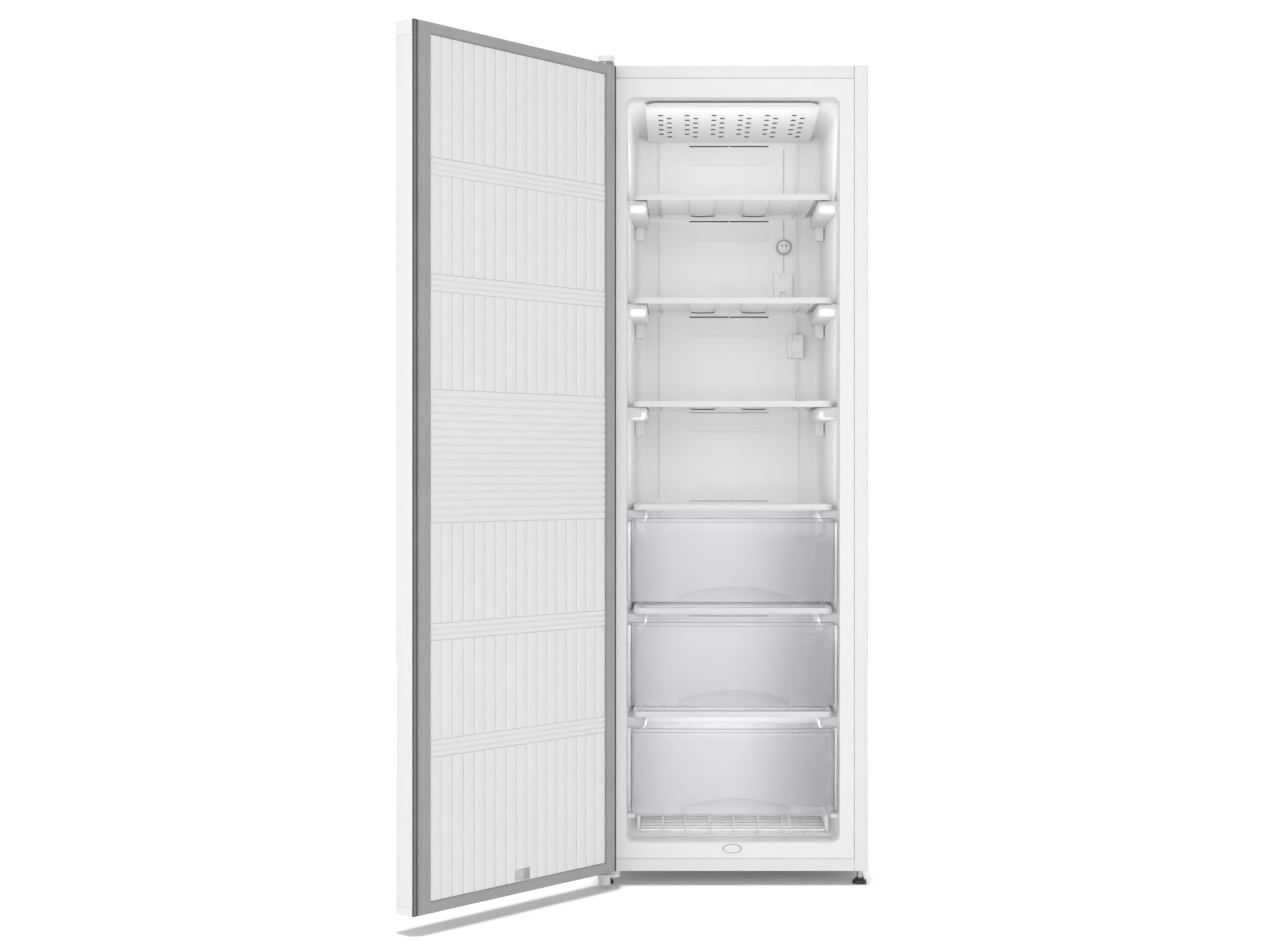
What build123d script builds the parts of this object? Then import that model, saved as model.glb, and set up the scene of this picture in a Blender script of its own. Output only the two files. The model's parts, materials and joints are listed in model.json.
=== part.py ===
from build123d import *
import os
from math import cos, sin, radians

# Upright freezer with one door hinged at the left, standing open.
# Built in the cabinet frame: x to the right, y to the back, z up, the cabinet's
# front at y = 0 and the floor at z = 0. Everything is moved once, at the end.

os.makedirs("parts", exist_ok=True)

# ---- driving dimensions, mm ----
HALF_W = 275.0                      # half the cabinet's width
DEPTH = 515.0                       # cabinet front to back
BASE_Z = 29.0                       # underside of the cabinet
TOP_Z = 1669.0                      # top of the cabinet
SHEET = 1.0                         # steel sheet
FOLD = 28.0                         # front fold of the side panels
SEAM = 0.5                          # seams between neighbouring front faces
RAIL_TOP = 25.5                     # height of the top front rail
RAIL_LOW = 24.5                     # height of the bottom rail
BEYOND = 100.0                      # how far cutting blocks reach past the cabinet

# liner, from the cabinet's size and the foam round it
OPEN_HALF = HALF_W - 56.5           # liner opening, half width
OPEN_Z0 = BASE_Z + 56
OPEN_Z1 = TOP_Z - 63
OPEN_R = 15.0
WALL = 2.5                          # liner wall
TAPER = 14.0                        # each side wall leans in by this
SLOPE = 18.0                        # floor rises and ceiling falls by this
CAVITY_D = DEPTH - 140              # liner depth
BACK_HALF = OPEN_HALF - TAPER
BACK_Z0 = OPEN_Z0 + SLOPE
BACK_Z1 = OPEN_Z1 - SLOPE
BACK_R = 20.0
FLANGE_HALF = HALF_W - 13           # liner flange tucked behind the folds
BAY_Y = DEPTH - 230                 # machine bay
BAY_Z = 285.0
HUMP_Y = BAY_Y - 40                 # step in the liner over the machine bay
HUMP_Z = BAY_Z + 40
RECESS_HALF = BACK_HALF - 59.5      # evaporator recess in the back wall
RECESS_Z0 = HUMP_Z + 20
RECESS_Z1 = OPEN_Z1 - 86
RECESS_Y = CAVITY_D + 70
DRAIN_Y = RECESS_Y - 15
DRAIN_D = 16.0
PLATE_Z = BASE_Z + 2.5              # underside of the compressor plate

# shelves at an even pitch between the lowest and the highest
SHELF_LOW = HUMP_Z + 24.4
SHELF_HIGH = OPEN_Z1 - 193.5
SHELF_COUNT = 6
SHELF_PITCH = (SHELF_HIGH - SHELF_LOW) / (SHELF_COUNT - 1)
SHELF_TOPS = [SHELF_HIGH - SHELF_PITCH * n for n in range(SHELF_COUNT)]
SHELF_T = 12.5
SHELF_HALF = BACK_HALF
SHELF_Y0 = 35.0
SHELF_Y1 = CAVITY_D - 35
LEDGE_IN = BACK_HALF - 27.5         # inner edge of the shelf rails
LEDGE_H = 25.0
LUG_DROP = 66.0                     # shelf top down to the lug's underside

DRAWER_HALF = OPEN_HALF - 10
TUB_HALF = BACK_HALF - 8.5
DRAWER_RISE = 14.0                  # drawer floor above the shelf below it
TUB_H = 122.0
DRAWER_CLEAR = 15.0                 # drawer front's top below the shelf above
NARROW_IN = TUB_HALF + 3.5          # inner edge of the narrow ledge for the lowest drawer
NARROW_Z = OPEN_Z0 + 56

AXIS_X = -(HALF_W - 14)             # door hinge axis
AXIS_Y = -29.5
REST_OPEN = 130.3                   # degrees the door stands open
DOOR_A0 = -13.0                     # door ends, measured from the axis along the door
DOOR_A1 = 2 * HALF_W - 15.5
DOOR_Y0 = -60.0                     # outer face when shut
DOOR_Y1 = -10.0                     # inner flange when shut
DOOR_Z0 = BASE_Z + 6
DOOR_Z1 = TOP_Z - 8
CAP_TOP = 28.0
CAP_LOW = 15.5
DOOR_R = 12.0
DOOR_SHEET = 0.8
GASKET_Y = -0.5                     # sealing face when shut
GASKET_OUT = 12.0                   # door end to the bulb's outer edge
GASKET_W = 26.0                     # width of the bulb at the sides
GASKET_END = 2.0                    # door's top and bottom edges to the bulb
GASKET_BAND = 21.0                  # width of the bulb at the top and bottom
PANEL_Y = -3.0                      # raised face of the door liner when shut
PANEL_IN = 1.0                      # gap between gasket and raised panel
RIDGE_DEEP = 2.2                    # ridges stand in a recess this deep

PIN_D = 9.0
PIN_FIT = 0.05                      # radial running fit
BUSH_D = 14.0
BOSS_D = 20.0
FOOT_X = HALF_W - 16
FOOT_Y = 22.0
STEM_D = 8.0
ROLLER_X = HALF_W - 40
ROLLER_Y = DEPTH - 35
ROLLER_D = 30.0
AXLE_D = 5.0

COVER_Y = CAVITY_D - 4              # front face of the air duct cover
COVER_HALF = RECESS_HALF + 10
SLOT_HALF = RECESS_HALF - 57
KNOB_X = RECESS_HALF - 23
KNOB_Z = SHELF_TOPS[0] - 71.5
HEATER_Y = RECESS_Y - 17
HEATER_Z = RECESS_Z0 + 33
COIL_Y = CAVITY_D + 35
COIL_Z = RECESS_Z0 + 75
COIL_STEP = 50.0
COIL_ROWS = 8
COIL_D = 8.0
COIL_HALF = RECESS_HALF - 33
FAN_Z = COIL_Z + 620
FAN_D = 104.0
FAN_Y = CAVITY_D + 17
SHAFT_D = 4.0
CONDENSER_Y = DEPTH + 25
CONDENSER_HALF = HALF_W - 45
CONDENSER_Z0 = BAY_Z + 135
CONDENSER_STEP = 60.0
CONDENSER_ROWS = int((TOP_Z - 169 - CONDENSER_Z0) / CONDENSER_STEP) + 1
CONDENSER_D = 5.0
WIRE_STEP = (CONDENSER_HALF - 40) / 5
GLAND_X = 180.0
GLAND_Z = 48.0


# ---- helpers ----
def block(x0, x1, y0, y1, z0, z1):
    """Box between two opposite corners."""
    middle = Pos((x0 + x1) / 2, (y0 + y1) / 2, (z0 + z1) / 2)
    return middle * Box(abs(x1 - x0), abs(y1 - y0), abs(z1 - z0))


def rod_z(x, y, z0, z1, d):
    return Pos(x, y, (z0 + z1) / 2) * Cylinder(d / 2, z1 - z0)


def rod_y(x, z, y0, y1, d):
    return Pos(x, (y0 + y1) / 2, z) * Rot(90, 0, 0) * Cylinder(d / 2, y1 - y0)


def rod_x(y, z, x0, x1, d):
    return Pos((x0 + x1) / 2, y, z) * Rot(0, 90, 0) * Cylinder(d / 2, x1 - x0)


def facing(y):
    """Upright plane at depth y, its own y axis pointing up."""
    return Plane(origin=(0, y, 0), x_dir=(1, 0, 0), z_dir=(0, -1, 0))


def rounded_frame(y, half, z0, z1, r):
    return facing(y) * Pos(0, (z0 + z1) / 2) * RectangleRounded(2 * half, z1 - z0, r)


def plan_block(x0, x1, y0, y1, z0, z1, r_front=0.0, r_back=0.0):
    """Upright block whose vertical corners are rounded at the front or the back."""
    body = block(x0, x1, y0, y1, z0, z1)
    uprights = body.edges().filter_by(Axis.Z).sort_by(Axis.Y)
    if r_front:
        body = fillet(uprights[:2], r_front)
        uprights = body.edges().filter_by(Axis.Z).sort_by(Axis.Y)
    if r_back:
        body = fillet(uprights[-2:], r_back)
    return body


def tube_along(points, d, bend):
    """Bent round tube through the points."""
    path = FilletPolyline(*points, radius=bend)
    ring = Plane(origin=path @ 0, z_dir=path % 0) * Circle(d / 2)
    return sweep(ring, path=path)


def both(shape):
    """The shape and its mirror image on the other side."""
    return [shape, mirror(shape, Plane.YZ)]


parts = {}


def keep(name, *shapes):
    flat = []
    for shape in shapes:
        flat += shape if isinstance(shape, list) else [shape]
    solids = [s for shape in flat for s in shape.solids()]
    parts[name] = solids


# ---- cabinet sheet metal ----
def side_panel():
    wall = block(HALF_W - SHEET, HALF_W, 0, DEPTH, BASE_Z, TOP_Z)
    front = block(HALF_W - FOLD, HALF_W, 0, SHEET, BASE_Z, TOP_Z)
    rear = block(HALF_W - 20, HALF_W, DEPTH - SHEET, DEPTH, BASE_Z, TOP_Z)
    return wall + front + rear


def top_panel():
    sheet = block(-HALF_W + SHEET, HALF_W - SHEET, 3.5, DEPTH - SHEET, TOP_Z - 2, TOP_Z - 1)
    turned = block(-HALF_W + 22, HALF_W - 22, DEPTH - SHEET, DEPTH, TOP_Z - 20, TOP_Z - 1)
    panel = sheet + turned
    for x, y in TOP_SCREWS:
        panel -= rod_z(x, y, TOP_Z - 3, TOP_Z, SCREW_D)
    return panel


def top_front_rail():
    half = HALF_W - FOLD - SEAM
    face = block(-half, half, 0, SHEET, TOP_Z - RAIL_TOP, TOP_Z)
    lip = block(-half, half, 0, 18, TOP_Z - SHEET, TOP_Z)
    return face + lip


def back_panel():
    half = HALF_W - SHEET
    return block(-half, half, DEPTH - 2 * SHEET, DEPTH - SHEET, BAY_Z + SHEET, TOP_Z - 2)


def base_pan():
    half = HALF_W - SHEET
    rail = block(-HALF_W + FOLD + SEAM, HALF_W - FOLD - SEAM, 0, 3.5, BASE_Z, BASE_Z + RAIL_LOW)
    floor = block(-half, half, SHEET, BAY_Y, BASE_Z, BASE_Z + 1.5)
    step = block(-half, half, BAY_Y, BAY_Y + 1.5, BASE_Z, BAY_Z)
    roof = block(-half, half, BAY_Y, DEPTH - 2 * SHEET, BAY_Z, BAY_Z + SHEET)
    pan = rail + floor + step + roof
    for x in (-FOOT_X, FOOT_X):
        pan += rod_z(x, FOOT_Y, BASE_Z, 50, 16)
        pan -= rod_z(x, FOOT_Y, BASE_Z, 47, STEM_D + 2 * PIN_FIT)
    pan -= rod_z(0, DRAIN_Y, BAY_Z - 2, BAY_Z + 4, DRAIN_D)
    return pan


# ---- liner ----
def liner_outside():
    front = rounded_frame(0, OPEN_HALF + WALL, OPEN_Z0 - WALL, OPEN_Z1 + WALL, OPEN_R + WALL)
    y = CAVITY_D + WALL
    back = rounded_frame(y, BACK_HALF + WALL, BACK_Z0 - WALL, BACK_Z1 + WALL, OPEN_R + WALL)
    body = loft([front, back])
    body = round_back(body, OPEN_HALF + WALL, BACK_HALF + WALL, y, BACK_R + WALL)
    side = RECESS_HALF + WALL
    body += block(-side, side, CAVITY_D - 5, RECESS_Y + WALL, RECESS_Z0 - WALL, RECESS_Z1 + WALL)
    return body - block(-HALF_W, HALF_W, HUMP_Y + WALL, DEPTH + BEYOND, 0, HUMP_Z - WALL)


def liner_inside():
    front = rounded_frame(0, OPEN_HALF, OPEN_Z0, OPEN_Z1, OPEN_R)
    back = rounded_frame(CAVITY_D, BACK_HALF, BACK_Z0, BACK_Z1, OPEN_R)
    body = loft([front, back])
    body = round_back(body, OPEN_HALF, BACK_HALF, CAVITY_D, BACK_R)
    body += block(-RECESS_HALF, RECESS_HALF, CAVITY_D - 5, RECESS_Y, RECESS_Z0, RECESS_Z1)
    return body - block(-HALF_W, HALF_W, HUMP_Y, DEPTH + BEYOND, 0, HUMP_Z)


def round_back(body, half0, half1, y, r):
    """Rounds the two upright back corners of the tapered body."""
    outline = Polyline((-half0, 0), (-half1, y), (half1, y), (half0, 0), (-half0, 0))
    plan = make_face(outline)
    plan = fillet(plan.vertices().sort_by(Axis.Y)[-2:], r)
    kept = extrude(plan, TOP_Z + BEYOND)
    reach = 0.95 * r
    corner = block(half1 - reach, half1 + 30, y - reach, y + 30, 0, TOP_Z + BEYOND) - kept
    return body - corner - mirror(corner, Plane.YZ)


def inner_liner(outside, inside):
    flange = block(-FLANGE_HALF, FLANGE_HALF, SHEET, SHEET + WALL, BASE_Z + 11, TOP_Z - 12)
    face_half = HALF_W - FOLD - SEAM
    face_z0 = BASE_Z + RAIL_LOW + SEAM
    face_z1 = TOP_Z - RAIL_TOP - SEAM
    flange -= block(-HALF_W, HALF_W, 0, SHEET + WALL, 0, BASE_Z + RAIL_LOW)
    flange += block(-face_half, face_half, 0.2, SHEET + 1, face_z0, face_z1)
    shape = flange + (outside & block(-HALF_W, HALF_W, 0.2, DEPTH + BEYOND, 0, TOP_Z))
    shape -= inside
    shape -= block(-OPEN_HALF + 10, OPEN_HALF - 10, 0, 10, OPEN_Z0 + 10, OPEN_Z1 - 10)
    shape -= rod_z(0, DRAIN_Y, RECESS_Z0 - 6, RECESS_Z0 + 2, DRAIN_D)
    return shape


def shelf_rails(outside):
    rails = []
    for i, top in enumerate(SHELF_TOPS):
        z1 = top - SHELF_T
        z0 = z1 - LEDGE_H
        bar = block(LEDGE_IN, OPEN_HALF + 10, 50, SHELF_Y1 + 5, z0, z1)
        front = bar.edges().filter_by(Axis.Z).sort_by(Axis.X)[:2].sort_by(Axis.Y)[0]
        bar = fillet(front, 18)
        lower = [e for e in bar.faces().sort_by(Axis.Z)[0].edges()
                 if e.center().X < OPEN_HALF and e.center().Y < SHELF_Y1]
        bar = fillet(lower, 10)
        if i < SHELF_COUNT - 1:
            lug_in = BACK_HALF - 18.5
            bar += block(lug_in, lug_in + 18, SHELF_Y1 - 50, SHELF_Y1 - 30, top - LUG_DROP, z0 + 3)
        else:
            bar -= block(0, HALF_W, HUMP_Y - 10, DEPTH, z0 - 5, HUMP_Z)
        rails += both(bar)
    narrow = block(NARROW_IN, OPEN_HALF + 10, 25, HUMP_Y - 2, NARROW_Z - 8, NARROW_Z)
    rails += both(narrow)
    return rails


def drain_spout():
    lip = facing(0.2) * Pos(0, OPEN_Z0 - 10) * SlotOverall(38, 16)
    spout = extrude(lip, 2.6)
    spout = fillet(spout.faces().sort_by(Axis.Y)[0].edges(), 1)
    hollow = extrude(facing(-1.2) * Pos(0, OPEN_Z0 - 9) * SlotOverall(28, 8), 5)
    return spout - hollow


def cabinet_foam(outside, liner, pan):
    half = HALF_W - SHEET
    foam = block(-half, half, SHEET + WALL, DEPTH - 2 * SHEET, BASE_Z + 1.5, TOP_Z - 2)
    foam -= outside
    foam -= block(-HALF_W, HALF_W, BAY_Y, DEPTH + BEYOND, 0, BAY_Z + SHEET)
    for x in (-FOOT_X, FOOT_X):
        foam -= rod_z(x, FOOT_Y, BASE_Z, 50, 16)
    foam -= rod_z(0, DRAIN_Y, BAY_Z - 80, RECESS_Z0, DRAIN_D)
    return foam


# ---- inside fittings ----
def air_duct_cover():
    plate = block(-COVER_HALF, COVER_HALF, COVER_Y, CAVITY_D, HUMP_Z + 10, OPEN_Z1 - 21)
    half = SLOT_HALF
    for z in air_slots():
        plate -= block(-half, half, COVER_Y - 1, CAVITY_D + 1, z - 3, z + 3)
        plate -= block(-half, half, COVER_Y - 1, COVER_Y + 1.5, z - 46, z - 2)
    plate -= block(KNOB_X - 0.7, KNOB_X + 0.7, COVER_Y - 1, COVER_Y + 1, KNOB_Z, OPEN_Z1)
    plate -= rod_y(KNOB_X, KNOB_Z, COVER_Y - 1, CAVITY_D + 1, 8)
    return plate


def air_slots():
    """Heights of the air slots: one high up, one behind each upper shelf, one lower."""
    upper = [top - 5 for top in SHELF_TOPS[:3]]
    return [OPEN_Z1 - 35] + upper + [SHELF_TOPS[3] + 3, SHELF_TOPS[4] - 40]


def ceiling_z(y):
    return OPEN_Z1 + (BACK_Z1 - OPEN_Z1) * y / CAVITY_D


def diffuser():
    y0 = 30
    y1 = CAVITY_D - 6
    half = BACK_HALF - 28
    low0 = ceiling_z(y0) - 16
    low1 = ceiling_z(y1) - 16
    outline = Plane.YZ * Polygon((y0, low0), (y1, low1), (y1, low1 + 3), (y0, low0 + 3), align=None)
    plate = extrude(outline, half, both=True)
    upstand = Plane.YZ * Polygon(
        (y0 + 25, low0), (y1, low1), (y1, low1 + 15.9), (y0 + 25, ceiling_z(y0 + 25) - 0.1), align=None
    )
    side = Pos(half - 2.5, 0, 0) * extrude(upstand, 2.5)
    plate += side + mirror(side, Plane.YZ)
    chamfered = [e for e in plate.edges() if abs(e.center().Y - y0) < 0.5 and e.length < 4]
    plate = chamfer(chamfered, 12)
    pitch = 2 * (half - 8) / 6
    for n in range(6):
        plate -= slot_group((n - 2.5) * pitch, y0 + 0.27 * (y1 - y0), (y1 - y0) / 8)
    return plate


def slot_group(x, y, step):
    """Two staggered columns of five short slots."""
    cuts = []
    for dx, start in ((-9, y), (9, y + 0.6 * step)):
        for row in range(5):
            cy = start + row * step
            cuts.append(block(x + dx - 5, x + dx + 5, cy - 4, cy + 4, OPEN_Z1 - 46, OPEN_Z1 + 14))
    return cuts


def sensor_covers():
    edge = RECESS_HALF
    low = SHELF_TOPS[1] + 29
    plate = block(edge - 46, edge - 4, COVER_Y - 9, COVER_Y, low, low + 54)
    plate = fillet(plate.faces().sort_by(Axis.Y)[0].edges(), 2)
    plate -= block(edge - 31, edge - 19, COVER_Y - 10, COVER_Y - 3, low + 42, low + 60)
    plate -= block(edge - 31, edge - 19, COVER_Y - 10, COVER_Y - 3, low - 5, low + 12)
    base = SHELF_TOPS[2]
    channel = block(edge + 0.5, edge + 15, COVER_Y - 5, COVER_Y, base + 14, OPEN_Z1 - 37)
    channel = fillet(channel.faces().sort_by(Axis.Y)[0].edges().filter_by(Axis.Z), 3)
    z0 = base + 107
    z1 = z0 + 52
    y0 = COVER_Y - 16
    box = block(edge - 14, edge + 20, y0, COVER_Y, z0, z1)
    box = fillet(box.faces().sort_by(Axis.Y)[0].edges(), 2)
    box -= block(edge - 6, edge + 12, y0 - 5, y0 + 4, z0, z0 + 12)
    box -= block(edge - 6, edge + 12, y0 - 5, y0 + 4, z1 - 12, z1)
    return [plate, channel + box]


def thermostat_knob():
    disc = rod_y(KNOB_X, KNOB_Z, COVER_Y - 11, COVER_Y - 0.5, 34)
    disc = fillet(disc.faces().sort_by(Axis.Y)[0].edges(), 1.5)
    grip = block(KNOB_X - 4, KNOB_X + 4, COVER_Y - 19, COVER_Y - 10, KNOB_Z - 15, KNOB_Z + 15)
    grip = fillet(grip.edges().filter_by(Axis.Y), 3)
    stem = rod_y(KNOB_X, KNOB_Z, COVER_Y - 1, CAVITY_D + 13, 6)
    return disc + grip + stem


def thermostat_body():
    box = block(KNOB_X - 20, KNOB_X + 20, CAVITY_D, CAVITY_D + 25, KNOB_Z - 26, KNOB_Z + 26)
    box = fillet(box.edges().filter_by(Axis.Y), 3)
    bore = rod_y(KNOB_X, KNOB_Z, CAVITY_D - 1, CAVITY_D + 15, 6 + 2 * PIN_FIT)
    y = CAVITY_D + 33
    bulb = rod_z(KNOB_X, y, KNOB_Z - 60, KNOB_Z - 20, 6)
    link = tube_along(((KNOB_X, y - 13, KNOB_Z - 10), (KNOB_X, y, KNOB_Z - 10),
                       (KNOB_X, y, KNOB_Z - 30)), 3, 5)
    return (box + link + bulb) - bore


def evaporator_tube():
    """Serpentine in the back recess, rows along x."""
    points = []
    for row in range(COIL_ROWS):
        z = COIL_Z + COIL_STEP * row
        side = -COIL_HALF if row % 2 == 0 else COIL_HALF
        points += [(side, COIL_Y, z), (-side, COIL_Y, z)]
    points.append((points[-1][0], COIL_Y, points[-1][2] + 120))
    return tube_along(points, COIL_D, 12)


def evaporator_fins():
    """Thin fins on the coil; the two end ones reach the recess and carry the heater."""
    fins = []
    step = (RECESS_HALF - 49) / 8
    top = COIL_Z + COIL_STEP * (COIL_ROWS - 1) + 18
    for i in range(-8, 9):
        x = step * i
        fin = block(x - 0.4, x + 0.4, COIL_Y - 22, COIL_Y + 22, COIL_Z - 18, top)
        if abs(i) == 8:
            fin += block(x - 0.4, x + 0.4, COIL_Y - 22, RECESS_Y, HEATER_Z - 10, top)
            fin -= rod_x(HEATER_Y, HEATER_Z, x - 2, x + 2, 7)
        for row in range(COIL_ROWS):
            fin -= rod_x(COIL_Y, COIL_Z + COIL_STEP * row, x - 2, x + 2, COIL_D + 0.1)
        fins.append(fin)
    return fins


def defrost_heater():
    half = RECESS_HALF - 25
    points = ((-half, HEATER_Y, HEATER_Z + 62), (-half, HEATER_Y, HEATER_Z), (half, HEATER_Y, HEATER_Z),
              (half, HEATER_Y, HEATER_Z + 62))
    return tube_along(points, 7, 14)


def fan_shroud():
    half = RECESS_HALF - 25
    y = CAVITY_D + 25
    plate = block(-half, half, y, y + 3, FAN_Z - 70, FAN_Z + 70)
    ring = rod_y(0, FAN_Z, y - 15, y + 3, FAN_D + 16)
    shroud = plate + ring - rod_y(0, FAN_Z, y - 20, y + 10, FAN_D + 10)
    for sx in (-1, 1):
        for sz in (-1, 1):
            post_x = sx * (half - 20)
            post_z = FAN_Z + sz * 60
            shroud += block(post_x - 4, post_x + 4, CAVITY_D, y + 1, post_z - 4, post_z + 4)
            spoke = block(-3, 3, -1.5, 1.5, 12 * sz, 66 * sz)
            shroud += Pos(0, y + 1.5, FAN_Z) * Rot(0, sx * sz * 45, 0) * spoke
    shroud += rod_y(0, FAN_Z, y, y + 3, 36)
    return shroud - rod_y(0, FAN_Z, y - 5, y + 10, 2 * SHAFT_D)


def fan_motor():
    y = CAVITY_D + 28
    can = rod_y(0, FAN_Z, y, y + 27, 40)
    can = fillet(can.faces().sort_by(Axis.Y)[-1].edges(), 3)
    return can - rod_y(0, FAN_Z, y - 4, y + 19, SHAFT_D + 2 * PIN_FIT)


def fan_blade():
    hub = rod_y(0, FAN_Z, FAN_Y - 6, FAN_Y + 6, 26)
    shaft = rod_y(0, FAN_Z, FAN_Y - 2, FAN_Y + 28, SHAFT_D)
    blades = []
    for i in range(5):
        leaf = Pos(30, 0, 0) * Rot(28, 0, 0) * Box(42, 2, 24)
        blades.append(Pos(0, FAN_Y, FAN_Z) * Rot(0, 72 * i, 0) * leaf)
    body = hub + shaft + blades
    return body & rod_y(0, FAN_Z, FAN_Y - 12, FAN_Y + 33, FAN_D)


def shelf(top):
    """Moulded shelf: skin, skirt and ribs below."""
    z0 = top - SHELF_T
    body = plan_block(-SHELF_HALF, SHELF_HALF, SHELF_Y0, SHELF_Y1, z0, top, r_front=14)
    hollow = plan_block(-SHELF_HALF + 2.5, SHELF_HALF - 2.5, SHELF_Y0 + 2.5, SHELF_Y1 - 2.5,
                        z0 - 1, top - 3, r_front=11.5)
    body -= hollow
    rib_z = z0 + 5
    inner = LEDGE_IN - 1
    for x in (-inner, 28 - inner, inner - 36, inner - 8):
        body += block(x - 1, x + 1, SHELF_Y0 + 1, SHELF_Y1 - 1, rib_z, top - 2)
    end = SHELF_Y1 - 8
    for x in (-59, 53):
        for dx in (-28, 28):
            body += block(x + dx - 1, x + dx + 1, SHELF_Y0 + 1, end - 14, rib_z, top - 2)
        curve = Plane.XY.offset(rib_z) * Pos(x, end - 15) * Ellipse(29, 15)
        inside = Plane.XY.offset(rib_z) * Pos(x, end - 15) * Ellipse(27, 13)
        bow = extrude(curve - inside, SHELF_T - 7)
        body += bow - block(x - 40, x + 40, 0, end - 15, 0, TOP_Z)
    return body


def drawer_front(z0, z1):
    """Slightly bowed front with rounded ends that turn back."""
    outer = Plane.XY.offset(z0) * make_face(Polyline(
        (-DRAWER_HALF, 40), (-DRAWER_HALF, 20), (0, 12), (DRAWER_HALF, 20), (DRAWER_HALF, 40),
        (-DRAWER_HALF, 40)))
    body = extrude(outer, z1 - z0)
    corners = [e for e in body.edges().filter_by(Axis.Z) if abs(e.center().Y - 20) < 0.5]
    body = fillet(corners, 12)
    inner = Plane.XY.offset(z0) * make_face(Polyline(
        (-DRAWER_HALF + 3, 45), (-DRAWER_HALF + 3, 23.1), (0, 15), (DRAWER_HALF - 3, 23.1),
        (DRAWER_HALF - 3, 45), (-DRAWER_HALF + 3, 45)))
    hollow = extrude(inner, z1 - z0)
    corners = [e for e in hollow.edges().filter_by(Axis.Z) if abs(e.center().Y - 23.1) < 0.5]
    hollow = fillet(corners, 9)
    return body - hollow


def arch(y0, y1, z0, inset):
    """Flat-bottomed arch across the middle of a drawer front."""
    half = 104.5 - inset
    rise = 30 - inset
    curve = make_face([
        ThreePointArc((-half, z0 + 12), (0, z0 + rise), (half, z0 + 12)).edge(),
        Line((half, z0 + 12), (half, z0)).edge(),
        Line((half, z0), (-half, z0)).edge(),
        Line((-half, z0), (-half, z0 + 12)).edge()])
    return extrude(facing(y1) * Pos(2.5, 0) * curve, y1 - y0)


def drawer(z0, z1, floor_z, wall_top, rear, foot_z, foot_half):
    front = drawer_front(z0, z1)
    front -= arch(5, 30, z0, 0)
    pocket = arch(12, 24, z0, 0) - arch(5, 21.5, z0, 2.5)
    front += pocket
    tub = block(-TUB_HALF, TUB_HALF, 22, rear, floor_z, wall_top)
    back_edges = tub.edges().filter_by(Axis.Z).sort_by(Axis.Y)[-2:]
    tub = fillet(back_edges, 14)
    hollow = block(-TUB_HALF + 2.5, TUB_HALF - 2.5, 10, rear - 2.5, floor_z + 2.5, wall_top + 5)
    hollow_edges = hollow.edges().filter_by(Axis.Z).sort_by(Axis.Y)[-2:]
    hollow = fillet(hollow_edges, 11.5)
    tub -= hollow
    shut = block(-TUB_HALF, TUB_HALF, 14, 26, floor_z, floor_z + 2.5)
    shut -= arch(5, 20, z0, 0)
    tub += shut & front_side(z0, rear)
    body = front + tub
    for side in (-1, 1):
        inner = side * (foot_half - 3)
        outer = side * foot_half
        body += block(inner, outer, 42, rear - 16, foot_z, floor_z + 1)
    return body


def front_side(z0, rear):
    """Everything behind the bowed front's inner face."""
    half = DRAWER_HALF - 3.5
    plan = make_face(Polyline((-half, rear), (-half, 23), (0, 15), (half, 23), (half, rear), (-half, rear)))
    return extrude(Plane.XY.offset(z0 - 50) * plan, 400)


def low_drawer():
    """Lowest drawer: shallow tub with side flanges on the narrow ledges."""
    top = SHELF_LOW - SHELF_T - DRAWER_CLEAR - 5
    rear = HUMP_Y - 9
    body = drawer(NARROW_Z + 1, top, NARROW_Z + DRAWER_RISE, top - 17, rear, NARROW_Z, TUB_HALF)
    for side in (-1, 1):
        inner = side * (TUB_HALF - 3)
        body += block(inner, side * (TUB_HALF + 9), 42, rear - 16, NARROW_Z, NARROW_Z + 3)
    return body


WIRE_R = 1.5


def wire(a, b, d=2 * WIRE_R):
    """Straight round wire between two points."""
    line = Line(a, b)
    return sweep(Plane(origin=line @ 0, z_dir=line % 0) * Circle(d / 2), path=line)


def wire_basket():
    """Five flat welded grids."""
    half = TUB_HALF
    y0 = 30
    y1 = HUMP_Y - 10
    low = OPEN_Z0 + 14
    high = NARROW_Z - 3
    floor = []
    xs = (-143, -98, -47, 1.5, 52, 102, 148)
    for x in xs:
        floor.append(wire((x, y0 + WIRE_R, low), (x, y1 - WIRE_R, low)))
    for y in [y0 + (y1 - y0) * n / 6 for n in range(1, 6)]:
        floor.append(wire((-half + 4, y, low + 2.4), (half - 4, y, low + 2.4)))
    for x in (-half + 6, half - 6):
        floor.append(wire((x, y0 + WIRE_R, low), (x, y1 - WIRE_R, low)))
    grids = [join(floor)]
    for y, dy in ((y0, 2.4), (y1, -2.4)):
        face = [wire((-half, y, z), (half, y, z)) for z in (low, high)]
        uprights = (-half + 1.5,) + xs[:-1] + (115, half - 1.5)
        face += [wire((x, y - dy, low - 1.5), (x, y - dy, high + 1.5)) for x in uprights]
        grids.append(join(face))
    for side in (-1, 1):
        x = side * half
        face = [wire((x, y0 + WIRE_R, z), (x, y1 - WIRE_R, z)) for z in (low + 6, high)]
        ys = [y0 + (y1 - y0) * n / 6 for n in range(1, 6)]
        face += [wire((x - side * 2.4, y, low + 4.5), (x - side * 2.4, y, high + 1.5)) for y in ys]
        grids.append(join(face))
    for grid, y in ((1, y0 - 2.4), (2, y1 + 2.4)):
        legs = [wire((x, y, low - 1.4), (x, y, liner_floor(y + WIRE_R) + 0.05)) for x in (-98, 102)]
        grids[grid] = join([grids[grid]] + legs)
    return grids


def liner_floor(y):
    """Height of the liner floor at a depth."""
    return OPEN_Z0 + (BACK_Z0 - OPEN_Z0) * y / CAVITY_D


def join(pieces):
    body = pieces[0]
    for piece in pieces[1:]:
        body = body + piece
    return body


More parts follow.
